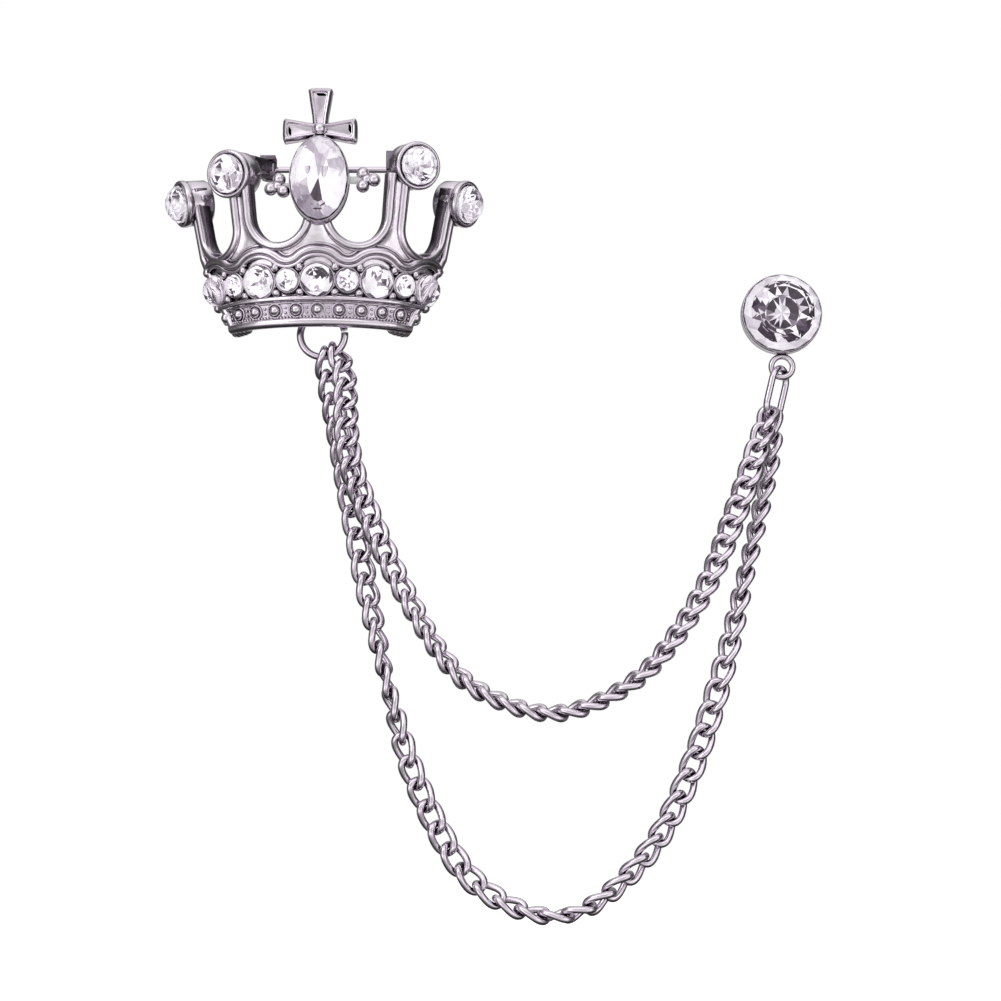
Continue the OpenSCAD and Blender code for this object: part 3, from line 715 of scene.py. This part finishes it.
# place round the crown, height, distance out of the wall, and the direction that the cup faces
CUPS = [(-68.6, -3.95, 1.25, -61), (-30.8, -2.6, 0.6, -25), (35, -1.55, 0.6, 28), (68.6, -3.95, 1.25, 57)]
CUP_D, CUP_STONE_D = 5.3, 4.2
CUP_SECTION = [
    (-2.65, -3.4), (-0.55, -3.4), (-0.22, -3.25), (-0.1, -3.0), (-0.1, -1.05), (-0.22, -0.95), (-0.22, -0.8),
    (-0.03, -0.7), (0.0, -0.55), (0.0, -0.28), (-0.06, -0.1), (-0.18, 0.0), (-0.3, 0.0), (-0.42, -0.12),
    (-0.49, -0.3), (-0.5, -1.0), (-2.65, -1.0),
]


def cup_place(cup):
    angle, z, out, facing = cup
    a = radians(angle)
    place = wall_place(radians(facing), z)
    place.translation = wall_at(a, z) + out * Vector((sin(a), -cos(a), 0))
    return place


def turned_piece(name, section, turns, steps):
    """One piece from a section that is turned at each of the widths, heights and places."""
    shape = Shape()
    for width, height, place in turns:
        turned(shape, section, width, height, place, steps)
    return face_outwards(shape.piece(name, cast_metal), 0.002)


cups = turned_piece("stone_cups", CUP_SECTION, [(CUP_D, CUP_D, cup_place(cup)) for cup in CUPS], 56)


def row_size(i):
    return 3.5 if i % 2 == 0 else 2.4


collets = turned_piece("row_collets", [
    (-0.1, -0.6), (0.24, -0.6), (0.24, 0.06), (0.2, 0.2), (0.13, 0.27), (0.06, 0.25), (0.04, 0.18),
    (0.03, -0.5),
], [(row_size(i), row_size(i), wall_place(angle_at(i * PITCH), ROW_Z)) for i in range(-4, 5)], 40)

# %% [markdown]
# The oval stone stands upright in front of the middle post. Its setting is a turned section too,
# but on an oval.

# %% Oval setting
FRONT_X, OVAL_Z = 0.3, -3.85
OVAL_W, OVAL_H = 6.1, 9.2
PLATE_BACK_Y = -6 - (OVAL_Z - ROW_Z) * LEAN + 0.9
PLATE_Y = PLATE_BACK_Y - 1.3


def upright(x, y, z, turn=0.0):
    """Matrix for a shape that faces the viewer: +Z of the shape towards -Y, turned in its own plane."""
    place = Matrix.Rotation(radians(90), 4, "X") @ Matrix.Rotation(turn, 4, "Z")
    place.translation = Vector((x, y, z))
    return place


setting = turned_piece("oval_setting", [
    (-4.0, 0.0), (0.05, 0.0), (0.17, 0.1), (0.2, 0.3), (0.1, 0.42), (0.1, 1.1), (0.2, 1.25), (0.2, 1.5),
    (0.15, 1.64), (0.08, 1.6), (0.05, 1.4), (0.05, 0.8), (-4.0, 0.8),
], [(OVAL_W, OVAL_H, upright(FRONT_X, PLATE_BACK_Y, OVAL_Z))], 72)

# %% [markdown]
# The cross over the oval has four flared arms with a sunk face inside a raised edge. One outline,
# drawn in step by step at different heights, makes an arm. A small bevel softens its edges, because
# a cast edge is never sharp.

# %% Cross
ARM_Z = 1.75


def arm_outline(length, inset, end=2.7, neck=1.5):
    """Half outline of a flared arm, from its root to the middle of its end, drawn in by inset."""
    half_neck, half_end = neck / 2 - inset * 0.8, end / 2 - inset
    tip = length - inset
    flare = half_end - half_neck
    return [
        (half_neck, 0.3), (half_neck + flare * 0.22, length * 0.35),
        (half_neck + flare * 0.62, length * 0.65), (half_end - 0.06, length * 0.9), (half_end, tip - 0.3),
        (half_end - 0.1, tip - 0.1), (half_end - 0.32, tip), (half_end * 0.4, tip + 0.05),
    ]


def cross_arm(shape, length, turn):
    rings = [(0.0, 0.0), (0.0, 0.85), (0.1, 1.12), (0.28, 1.3), (0.42, 1.26), (0.52, 1.05), (0.62, 1.0)]
    points, faces = [], []
    for inset, h in rings:
        half = arm_outline(length, inset)
        loop = [(x, y, h) for x, y in half] + [(-x, y, h) for x, y in reversed(half)]
        points += loop
    count = len(loop)
    for r in range(len(rings) - 1):
        for i in range(count):
            j = (i + 1) % count
            faces.append((r * count + i, r * count + j, (r + 1) * count + j, (r + 1) * count + i))
    faces.append(tuple(range(count)))
    last = (len(rings) - 1) * count
    faces.append(tuple(last + i for i in range(count)))
    shape.add(points, faces, upright(FRONT_X, PLATE_BACK_Y, ARM_Z, turn))


def cross():
    shape = Shape()
    for turn, length in ((0, 4.75), (90, 4.0), (-90, 4.0), (180, 2.2)):
        cross_arm(shape, length, radians(turn))
    hub = [(-1.5, 0.0), (-0.1, 0.0), (0.0, 0.3), (0.0, 1.0), (-0.2, 1.2), (-0.5, 1.28), (-1.5, 1.3)]
    turned(shape, hub, 1.7, 1.7, upright(FRONT_X, PLATE_BACK_Y, ARM_Z), 32)
    return face_outwards(shape.piece("cross", cast_metal), 0.002)


def soften(piece, width, least_angle=40):
    """Rounds the edges of a piece that are sharper than the least angle."""
    soft = piece.modifiers.new("soft edges", "BEVEL")
    soft.width = width * MM
    soft.segments = 2
    soft.limit_method = "ANGLE"
    soft.angle_limit = radians(least_angle)
    return piece


cross_piece = soften(cross(), 0.06, 30)
print("cross:", len(cross_piece.data.polygons), "faces before its edges are softened")

# %% [markdown]
# A trefoil of three balls round a smaller one stands on each side of the oval, on a short bar. The
# bead trees and the wire tree make them. A single bead sits on the middle of the cross.

# %% Trefoils and the cross's bead
# distance to the right of the oval's middle, height, and turn of each trefoil
TREFOILS = [(5.1, -3.8, 120), (-4.5, -4.55, 80)]


def trefoil_places(x, z, turn):
    y = (PLATE_Y + PLATE_BACK_Y) / 2
    places = []
    for a in (0, 120, 240):
        angle = radians(a + turn)
        ball = Vector((FRONT_X + x + 0.8 * cos(angle), y - 0.1, z + 0.8 * sin(angle)))
        places.append((ball, 0.72))
    return places + [(Vector((FRONT_X + x, y - 0.1, z)), 0.62)]


trefoils = join("trefoils", [
    beads("a", [ball for trefoil in TREFOILS for ball in trefoil_places(*trefoil)], cast_metal, 20, 12),
    # the bars get the darker copy of the metal as painted shade
    wires("b", [
        [Vector((FRONT_X + x * part, (PLATE_Y + PLATE_BACK_Y) / 2, z)) for part in (1, 0.5)]
        for x, z, _ in TREFOILS
    ], 0.42, painted_shade_metal),
])
cross_bead = beads("cross_bead", [(Vector((FRONT_X, PLATE_Y + 0.1, ARM_Z)), 0.75)], wire_metal, 28, 16)

# %% [markdown]
# Behind the crown sit the parts that hold it: the bracket and ears of the pin's hinge, the catch and
# the lug for the jump ring. The bracket is a wedge that is low in front, and the others are plates
# cut from sheet, so flat outlines with a thickness and softened edges are right.

# %% Fittings


def plate(shape, outline_points, low, high, place):
    """Adds a flat plate with the given outline, from height low to height high."""
    count = len(outline_points)
    points = [(x, y, low) for x, y in outline_points] + [(x, y, high) for x, y in outline_points]
    faces = [(i, (i + 1) % count, (i + 1) % count + count, i + count) for i in range(count)]
    faces += [tuple(reversed(range(count))), tuple(range(count, 2 * count))]
    shape.add(points, faces, place)


def arc(x, y, r, start, end, steps=16):
    return [
        (x + r * cos(radians(start + (end - start) * i / steps)),
         y + r * sin(radians(start + (end - start) * i / steps)))
        for i in range(steps + 1)
    ]


def pin_hinge():
    shape = Shape()
    front_y, back_y, rivet_x = -5.2, -1.0, -6.2
    wedge = [(x, front_y, z) for x, z in ((-8.1, -0.9), (-7.1, -0.9), (-7.1, -0.1), (-8.1, 0.1))]
    wedge += [(x, back_y, z) for x, z in ((-8.1, -1.18), (-5.7, -1.18), (-5.7, 0.7), (-8.1, 1.18))]
    shape.add(wedge, [(0, 1, 2, 3), (7, 6, 5, 4), (0, 4, 5, 1), (1, 5, 6, 2), (2, 6, 7, 3), (3, 7, 4, 0)])
    ear = [(-7.05, -1.7), (-5.35, -1.7)] + arc(rivet_x, 0, 0.85, 0, 180)
    for z in (0.68, -1.18):
        plate(shape, ear, z, z + 0.5, Matrix.Identity(4))
    rivet = [(-1, -1.3), (0, -1.3), (0.05, -1.2), (0.05, -1.17), (0, -1.16)]
    rivet += [(off, -h) for off, h in reversed(rivet)]
    turned(shape, rivet, 0.7, 0.7, Matrix.Translation((rivet_x, 0, 0)), 20)
    # the bracket gets the darker copy of the metal as painted shade
    return soften(face_outwards(shape.piece("pin_hinge_bracket", painted_shade_metal), 0.002), 0.06)


def pin_catch():
    slot = 0.45
    side = [(-5.2, -1.6), (0.6, -1.6), (1.0, -1.3), (1.0, -slot)] + arc(0, 0, slot, 270, 90)
    side += [(1.0, slot), (0.8, 0.9), (0.2, 1.1), (-1.2, 1.15), (-3.0, 1.0), (-5.2, 0.5)]
    place = Matrix(((0, 0, 1, 7.3), (1, 0, 0, 0), (0, 1, 0, 0), (0, 0, 0, 1)))
    shape = Shape()
    plate(shape, side, 0.0, 0.9, place)
    # the catch gets the darker copy of the metal as painted shade
    return soften(face_outwards(shape.piece("pin_catch", painted_shade_metal)), 0.08)


def hanging_lug(count=56):
    """A plate with a round end and a hole, whose straight root goes into the wall."""
    end_r, hole_r, root, half_t = 1.275, 0.625, 2.9, 0.5
    rim, hole = [], []
    for i in range(count):
        c, s = cos(tau * i / count), sin(tau * i / count)
        reach = end_r if c >= 0 else min(root / -c, end_r / max(abs(s), 1e-6))
        rim.append((reach * c, reach * s))
        hole.append((hole_r * c, hole_r * s))
    points = [(x, y, h) for h in (-half_t, half_t) for x, y in rim + hole]
    faces = []
    for i in range(count):
        j = (i + 1) % count
        faces += [
            (i, j, count + j, count + i), (2 * count + i, 3 * count + i, 3 * count + j, 2 * count + j),
            (i, 2 * count + i, 2 * count + j, j), (count + i, count + j, 3 * count + j, 3 * count + i),
        ]
    shape = Shape()
    shape.add(points, faces, Matrix(((0, 0, 1, 0.3), (1, 0, 0, -2.4), (0, 1, 0, -17.1), (0, 0, 0, 1))))
    return soften(face_outwards(shape.piece("hanging_lug", cast_metal)), 0.08)


hinge_piece = pin_hinge()
catch_piece = pin_catch()
lug_piece = hanging_lug()

for made in (rims, waves, bands, crown_beads, boss_rings, foot_lumps, cups, collets, setting, cross_piece,
             trefoils, cross_bead, hinge_piece, catch_piece, lug_piece):
    place_piece(made)
place_piece(wall, stands_for=["crown"])

# %% [markdown]
# Stones. The clear part follows the cut of the model: a table, star facets, kites and girdle facets.
# The foil behind it is a shallow cone of a few rings of facets, each facet with a painted reflection
# tone. A ring that lists a tone for every facet uses them in turn. In the others a seeded draw picks
# each tone, so that painted light and dark reflections lie side by side, as reflections do in a real cut
# stone.

# %% Cut stones


def facet_ring(w, h, z, count, turn=0.0, share=1.0):
    inset = (1 - share) * w
    return [
        ((w - inset) / 2 * sin(tau * (i + turn) / count),
         (h - inset) / 2 * cos(tau * (i + turn) / count), z)
        for i in range(count)
    ]


def clear_part(w, h, up, girdle, down, table=0.5, star=0.76, n=8):
    m = 2 * n
    points = facet_ring(w, h, up, n, 0, table)
    points += facet_ring(w, h, girdle + (up - girdle) * 0.62, n, 0.5, star)
    points += facet_ring(w, h, girdle, m) + facet_ring(w, h, 0, m) + facet_ring(w, h, -down, m, 0, 0.75)

    def g(row, i):
        return 2 * n + row * m + i % m

    faces = [tuple(range(n))]
    for i in range(n):
        faces += [(i, n + i, (i + 1) % n), (i, n + (i - 1) % n, g(0, 2 * i), n + i)]
        faces += [(n + i, g(0, 2 * i), g(0, 2 * i + 1)), (n + i, g(0, 2 * i + 1), g(0, 2 * i + 2))]
    for row in (0, 1):
        faces += [(g(row, i), g(row + 1, i), g(row + 1, i + 1), g(row, i + 1)) for i in range(m)]
    faces.append(tuple(g(2, i) for i in reversed(range(m))))
    return points, faces


# share of the width, share of the depth, painted reflection tones of facets with their base outside, and
# inside
ROW_FOIL = [
    (0.97, 0.03, (0.85, 0.25, 0.9, 0.7), (0.9, 0.75)), (0.62, 0.5, (0.9, 0.12, 0.8), (0.85, 0.35, 0.95)),
    (0.3, 0.85, (0.9, 0.5, 0.8), (0.95, 0.8)),
]
MIDDLE_FOIL = [
    (0.97, 0.03, (0.95, 0.15, 0.95, 0.12, 0.95, 0.1, 0.95, 0.9),
     (0.95, 0.3, 0.95, 0.9, 0.4, 0.95, 0.9, 0.95)),
    (0.62, 0.5, (0.08, 0.95, 0.9, 0.6, 0.95, 0.95, 0.1, 0.04),
     (0.06, 0.9, 0.95, 0.95, 0.9, 0.95, 0.85, 0.05)),
    (0.3, 0.85, (0.1, 0.95, 0.95, 0.9, 0.95, 0.9, 0.6, 0.12), (0.9, 0.9)),
]
CUP_FOIL = [
    (0.97, 0.03, (0.8, 0.4, 0.75, 0.65), (0.85, 0.6)),
    (0.66, 0.45, (0.85, 0.15, 0.7, 0.6), (0.85, 0.5, 0.95)),
    (0.34, 0.8, (0.9, 0.45, 0.7), (0.95, 0.7)),
]
STUD_FOIL = [
    (0.97, 0.03, (0.85, 0.7, 0.78), (0.85, 0.7, 0.9)),
    (0.7, 0.3, (0.05, 0.1, 0.7, 0.06), (0.85, 0.1, 0.65, 0.3, 0.8)),
    (0.47, 0.53, (0.62, 0.3, 0.5), (0.75, 0.4)), (0.43, 0.58, (0.04, 0.08, 0.06, 0.4), (0.08, 0.75, 0.05)),
    (0.2, 0.84, (0.7, 0.5, 0.62, 0.85), (0.8,)),
]
OVAL_SIDES = (0.66, 0.6, 0.7, 0.9, 0.95, 0.9, 0.68, 0.55, 0.48, 0.52, 0.66, 0.9, 0.95, 0.85, 0.6, 0.68)
OVAL_MIDDLE = (0.7, 0.76, 0.62, 0.93, 0.97, 0.93, 0.62, 0.46, 0.5, 0.42, 0.58, 0.93, 0.97, 0.9, 0.56, 0.74)
OVAL_HEART = (0.6, 0.66, 0.85, 0.97, 0.97, 0.97, 0.9, 0.16, 0.1, 0.16, 0.92, 0.97, 0.97, 0.97, 0.8, 0.62)
OVAL_FOIL = [
    (0.97, 0.03, OVAL_SIDES, OVAL_MIDDLE), (0.72, 0.38, OVAL_MIDDLE, OVAL_SIDES),
    (0.4, 0.72, OVAL_HEART, OVAL_HEART),
]


def foil_part(w, h, down, rings, seed, m=16):
    """Rings of facets from the girdle to the middle, and a painted reflection tone for each facet."""
    draw = random.Random(seed)

    def painted_reflection(choices, i):
        return choices[i] if len(choices) == m else draw.choice(choices)

    points, faces, painted_reflections = [], [], []
    for k, (share, deep, _, _) in enumerate(rings):
        points += facet_ring(w, h, -0.9 * down * deep, m, 0.5 * (k % 2), share)
    points.append((0, 0, -0.9 * down))
    for k, (_, _, outer_painted_reflections, inner_painted_reflections) in enumerate(rings):
        for i in range(m):
            a, b = k * m + i, k * m + (i + 1) % m
            if k == len(rings) - 1:
                faces.append((a, len(points) - 1, b))
                painted_reflections.append(painted_reflection(outer_painted_reflections, i))
                continue
            c, d = ((k + 1) * m + (i + step) % m for step in ((0, 1) if k % 2 == 0 else (1, 2)))
            faces += [(a, c, b), (b, c, d)]
            painted_reflections += [painted_reflection(outer_painted_reflections, i), painted_reflection(inner_painted_reflections, i)]
    return points, faces, painted_reflections


def make_stone(name, w, h, up, girdle, down, place, node_name, rings, seed, table=0.5, star=0.76, m=16):
    shape = Shape()
    points, faces = clear_part(w, h, up, girdle, down, table, star)
    shape.add(points, faces, place)
    place_piece(face_outwards(shape.piece(name, crystal, smooth=False)), stands_for=[node_name])
    back = Shape()
    points, faces, painted_reflections = foil_part(w, h, down, rings, seed, m)
    back.add(points, faces, place)
    piece = back.piece(name + "_foil", foil, smooth=False)
    # painted reflection: a light or dark tone stored on each facet of the foil
    painted_reflection = piece.data.attributes.new("painted_reflection", "FLOAT", "FACE")
    painted_reflection.data.foreach_set("value", painted_reflections)
    place_piece(piece)


for i in range(-4, 5):
    d = row_size(i)
    make_stone(f"row_crystal_{i + 5}", d, d, 0.3 * d, 0.25, 0.65,
               wall_place(angle_at(i * PITCH), ROW_Z, 0.25), f"row_stone_{i + 5}",
               MIDDLE_FOIL if i == 0 else ROW_FOIL, 20 + i, 0.6, 0.8, 8)
for i, cup in enumerate(CUPS):
    d = CUP_STONE_D
    make_stone(f"cup_crystal_{i + 1}", d, d, 0.3 * d, 0.25, 0.9, cup_place(cup), f"cup_stone_{i + 1}",
               CUP_FOIL, 40 + i, 0.58, 0.8, 10)
make_stone("oval_crystal", OVAL_W, OVAL_H, 1.7, 0.4, 0.7, upright(FRONT_X, PLATE_Y - 0.35, OVAL_Z),
           "oval_stone", OVAL_FOIL, 7, 0.74, 0.87)
STUD_C, STUD_STONE_D, STUD_D = Vector((50.95, -2.6, -17.2)), 8.5, 8.9
make_stone("stud_crystal", STUD_STONE_D, STUD_STONE_D, 1.8, 0.3, 1.1, upright(*STUD_C), "stud_stone",
           STUD_FOIL, 3, 0.68, 0.84)
print("stones:", 9 + len(CUPS) + 2)

# %% [markdown]
# Chain. Each link is a closed loop of wire, turned about its length by a quarter turn and the
# strand's own roll, so that it crosses its neighbours squarely. The route and the rolls are the
# model's, which keeps every link where the model has it. The wire tree then sweeps all the loops
# of a strand at once.

# %% Routes of the strands
WIRE_D, LINK_W, LINK_GAP, HOOK_GAP = 0.62, 2.7, 0.2, 0.06
RING_C, RING_R, RING_WIRE = Vector((0.3, -2.4, -19.65)), 2.45, 0.8
LONG_TOP, LONG_R, LONG_HALF, LONG_WIRE = Vector((50.95, -1.6, -23.3)), 1.625, 2.825, 0.75
UPPER_ROUTE = [
    (2.8, -3, -24.4), (3.4, -4.2, -32.5), (5, -3.8, -38), (9, -3.3, -47), (14.5, -3, -56), (20, -3, -59.8),
    (26, -3, -61), (32, -3, -59), (37, -3, -55), (42, -3, -47.5), (45.5, -3.6, -39), (47.3, -3.8, -34),
]
LOWER_ROUTE = [
    (1, -1.8, -25), (2.2, -1, -31), (3.7, -1, -39), (5.7, -1.4, -49), (8.3, -1.5, -60), (11, -1.5, -68.5),
    (15.5, -1.5, -77), (20.5, -1.5, -81), (26, -1.5, -82.3), (31, -1.5, -80.3), (36.5, -1.5, -74.5),
    (40.5, -1.5, -66.5), (44, -1.5, -56), (46.8, -1.2, -45), (48.7, -0.8, -37.5), (49.7, -0.9, -32.5),
]
UPPER_ROLL = [
    (0, -45), (0.12, -5), (0.2, -10), (0.27, -30), (0.35, -58), (0.5, -75), (0.62, -75), (0.72, -60),
    (0.8, -48), (0.87, -25), (0.94, -20), (1, -60),
]
LOWER_ROLL = [
    (0, -45), (0.12, 0), (0.2, -40), (0.27, -85), (0.35, -155), (0.42, -185), (0.5, -250), (0.57, -300),
    (0.65, -330), (0.72, -362), (0.8, -412), (0.87, -440), (1, -430),
]


def long_place(x, y, z):
    roll, lean = radians(55), radians(14)
    ax, ay, az = x * cos(roll), x * sin(roll) + y * cos(roll), z - LONG_HALF
    return LONG_TOP + Vector((
        ax * cos(lean) + az * sin(lean), ay, -ax * sin(lean) + az * cos(lean)
    ))


def ring_place(degrees):
    a = radians(degrees)
    return RING_C + RING_R * Vector((sin(a), 0, -cos(a)))


def long_foot(degrees):
    a = radians(degrees)
    return long_place(LONG_R * sin(a), 0, -(LONG_HALF - LONG_R) - LONG_R * cos(a))


def smooth_line(points, steps=8):
    line, last = [], len(points) - 1
    for i in range(last):
        a, b = points[max(i - 1, 0)], points[i]
        c, d = points[i + 1], points[min(i + 2, last)]
        for k in range(steps):
            t = k / steps
            square, cube = 2 * a - 5 * b + 4 * c - d, 3 * b - a - 3 * c + d
            line.append(0.5 * (2 * b + (c - a) * t + square * t**2 + cube * t**3))
    return line + [points[-1]]


def between(table, x):
    """Value at x on a line through the table's pairs."""
    if x <= table[0][0]:
        return table[0][1]
    for (x0, y0), (x1, y1) in zip(table, table[1:]):
        if x <= x1:
            return y0 + (y1 - y0) * (x - x0) / (x1 - x0)
    return table[-1][1]


def squared(x):
    return copysign(abs(x) ** 0.75, x)


def link_loop(centre, along, roll, twist, half_l, half_w, steps=32):
    side = along.cross(Vector((0, 1, 0))).normalized()
    side = Matrix.Rotation(radians(roll), 3, along) @ side
    up = along.cross(side)
    loop = []
    for k in range(steps):
        a = tau * k / steps
        reach, across = squared(cos(a)), half_w * squared(sin(a))
        turn = radians(twist) / 2 * reach
        ahead = centre + along * half_l * reach
        loop.append(ahead + side * across * cos(turn) + up * across * sin(turn))
    return loop


def strand(start, route, finish, rolls, links):
    line = smooth_line([start] + [Vector(p) for p in route] + [finish])
    stations = [0.0]
    for a, b in zip(line, line[1:]):
        stations.append(stations[-1] + (b - a).length)
    total = stations[-1]

    def place(d):
        return Vector([between([(s, p[k]) for s, p in zip(stations, line)], d) for k in range(3)])

    start_hook = (RING_WIRE + WIRE_D + LINK_GAP) / 2 + HOOK_GAP
    end_hook = (LONG_WIRE + WIRE_D + LINK_GAP) / 2 + HOOK_GAP
    pitch = (total + start_hook + end_hook - WIRE_D - LINK_GAP) / links
    half_l = (pitch + WIRE_D + LINK_GAP) / 2
    loops = []
    for i in range(links):
        d = half_l - start_hook + i * pitch
        along = (place(d + 0.8) - place(d - 0.8)).normalized()
        before, after = between(rolls, (d - pitch / 2) / total), between(rolls, (d + pitch / 2) / total)
        loops.append(link_loop(
            place(d), along, between(rolls, d / total), 90 + after - before, half_l, (LINK_W - WIRE_D) / 2
        ))
    print(links, "links over", round(total, 1), "mm")
    return loops


# %% Chains, jump ring and long link
upper = strand(ring_place(38), UPPER_ROUTE, long_foot(-24), UPPER_ROLL, 42)
lower = strand(ring_place(8), LOWER_ROUTE, long_foot(20), LOWER_ROLL, 52)
place_piece(wires("upper_strand", upper, 0.39, wire_metal, 12, closed=True), stands_for=["upper_chain"])
place_piece(wires("lower_strand", lower, 0.39, wire_metal, 12, closed=True), stands_for=["lower_chain"])


def circle(centre, r, angles):
    return [centre + r * Vector((cos(a), 0, sin(a))) for a in angles]


# the ring is cut: its wire stops a few degrees before it closes
ring_line = circle(RING_C, RING_R, (radians(12 + 354 * i / 72) for i in range(73)))
place_piece(wires("cut_ring", [ring_line], RING_WIRE / 2, wire_metal, 20), stands_for=["jump_ring"])

straight = LONG_HALF - LONG_R
long_line = [
    long_place(side * LONG_R * cos(a), 0, side * (straight + LONG_R * sin(a)))
    for side in (1, -1) for a in (pi * i / 24 for i in range(25))
]
long_oval = wires("long_oval", [long_line], LONG_WIRE / 2, wire_metal, 18, closed=True)
place_piece(long_oval, stands_for=["long_link"])

# %% [markdown]
# The stud is a turned cup with a rounded rim round the stone, a wire loop below it and a post behind
# it that goes through the lapel. The clutch slides on the post. The pin and the clutch keep the
# model's shapes and get the wire's finish.

# %% Stud
stud_cup = turned_piece("stud_cup", [
    (-4.45, -10.2), (-4.375, -10.2), (-3.9, -9.2), (-3.9, -1.62), (-3.6, -1.66), (-0.5, -1.7),
    (-0.3, -1.62), (0.0, -1.3), (0.0, -0.35), (-0.03, -0.08), (-0.09, 0.0), (-0.14, -0.02),
    (-0.15, -0.1), (-0.15, -1.2), (-4.45, -1.2),
], [(STUD_D, STUD_D, upright(*STUD_C))], 80)
LOOP_C, LOOP_R, LOOP_WIRE = STUD_C + Vector((0, 1, -STUD_D / 2 - 1.5 + 0.1)), 1.175, 0.65
loop_line = circle(LOOP_C, LOOP_R, (tau * i / 40 for i in range(40)))
stud_loop = wires("b", [loop_line], LOOP_WIRE / 2, cast_metal, 16, closed=True)
stud_piece = join("stud_body", [stud_cup, stud_loop])
place_piece(stud_piece, stands_for=["stud"])

for name in ("pin_stem", "clutch"):
    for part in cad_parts[name].material_slots:
        part.material = wire_metal
    print(name, "gets", wire_metal.name)

# %% [markdown]
# A small plain pale floor below the hanging chain, and a soft studio. Polished metal shows what it
# reflects, so the light is a bright ring round the camera, a brighter top and dark sides. The flat
# faces come out grey, their slopes white, and the wires get a dark edge on both sides. A light patch
# straight behind shows the back of the crown.

# %% Studio
FLOOR_Z = -112
floor = make_piece("floor", [
    (x, y, FLOOR_Z) for x, y in ((-500, -60), (540, -60), (540, 500), (-500, 500))
], [(0, 1, 2, 3)])
floor.visible_glossy = False
pale, _, pale_surface = new_material("pale_floor")
pale_surface.inputs["Base Color"].default_value = (0.9, 0.9, 0.9, 1)
pale_surface.inputs["Roughness"].default_value = 0.9
pale_surface.inputs["Emission Color"].default_value = (1, 1, 1, 1)
pale_surface.inputs["Emission Strength"].default_value = 0.75
floor.data.materials.append(pale)

world = bpy.data.worlds.new("studio")
bpy.context.scene.world = world
world.use_nodes = True
tree = world.node_tree
tree.nodes.clear()
direction = node(tree, "ShaderNodeSeparateXYZ")
tree.links.new(node(tree, "ShaderNodeTexCoord").outputs["Generated"], direction.inputs[0])


def light_along(axis, stops):
    """Brightness by direction: stops run from -1 to 1 along the axis."""
    place = math_node(tree, "MULTIPLY", math_node(tree, "ADD", direction.outputs[axis], 1.0), 0.5)
    return ramp(tree, place, [((at + 1) / 2, grey(value)) for at, value in stops])


depth_light = light_along("Y", [
    (-1.0, 0.78), (-0.94, 0.84), (-0.82, 1.35), (-0.64, 1.15), (-0.45, 0.5), (-0.2, 0.16), (0.3, 0.09),
    (0.72, 0.1), (0.93, 0.6), (1.0, 0.75),
])
height_light = light_along("Z", [
    (-1.0, 0.25), (-0.6, 0.4), (-0.42, 0.9), (-0.27, 1.5), (-0.1, 0.95), (0.14, 0.95), (0.32, 0.7),
    (0.6, 1.1), (1.0, 1.1),
])
side_light = light_along("X", [(-1.0, 1.15), (0.0, 1.0), (1.0, 0.8)])
top_light = light_along("Z", [(0.62, 0.0), (0.85, 0.7), (1.0, 0.9)])
ring_light = math_node(tree, "MULTIPLY", math_node(tree, "MULTIPLY", depth_light, height_light), side_light)
total_light = math_node(tree, "ADD", ring_light, top_light)
light = node(tree, "ShaderNodeBackground")
tree.links.new(total_light, light.inputs["Strength"])
white = node(tree, "ShaderNodeBackground")
white.inputs["Color"].default_value = (1, 1, 1, 1)
choose = node(tree, "ShaderNodeMixShader")
camera_ray = node(tree, "ShaderNodeLightPath").outputs["Is Camera Ray"]
for socket, source in zip(choose.inputs, (camera_ray, light.outputs[0], white.outputs[0])):
    tree.links.new(source, socket)
tree.links.new(choose.outputs[0], node(tree, "ShaderNodeOutputWorld").inputs[0])


def soft_box(name, place, aim, size, power):
    data = bpy.data.lights.new(name, "AREA")
    data.shape = "RECTANGLE"
    data.size, data.size_y = size[0] * MM, size[1] * MM
    data.energy = power
    lamp = bpy.data.objects.new(name, data)
    bpy.context.scene.collection.objects.link(lamp)
    lamp.location = Vector(place) * MM
    lamp.rotation_euler = (Vector(aim) * MM - lamp.location).to_track_quat("-Z", "Y").to_euler()
    lamp.visible_camera = False


soft_box("key", (-220, -260, 160), (20, 0, -30), (150, 150), 0.12)
soft_box("fill", (300, -200, 40), (20, 0, -40), (100, 200), 0.05)
bpy.context.scene.view_settings.view_transform = "Standard"
print("studio:", len(bpy.data.lights), "soft boxes, a floor and a world")
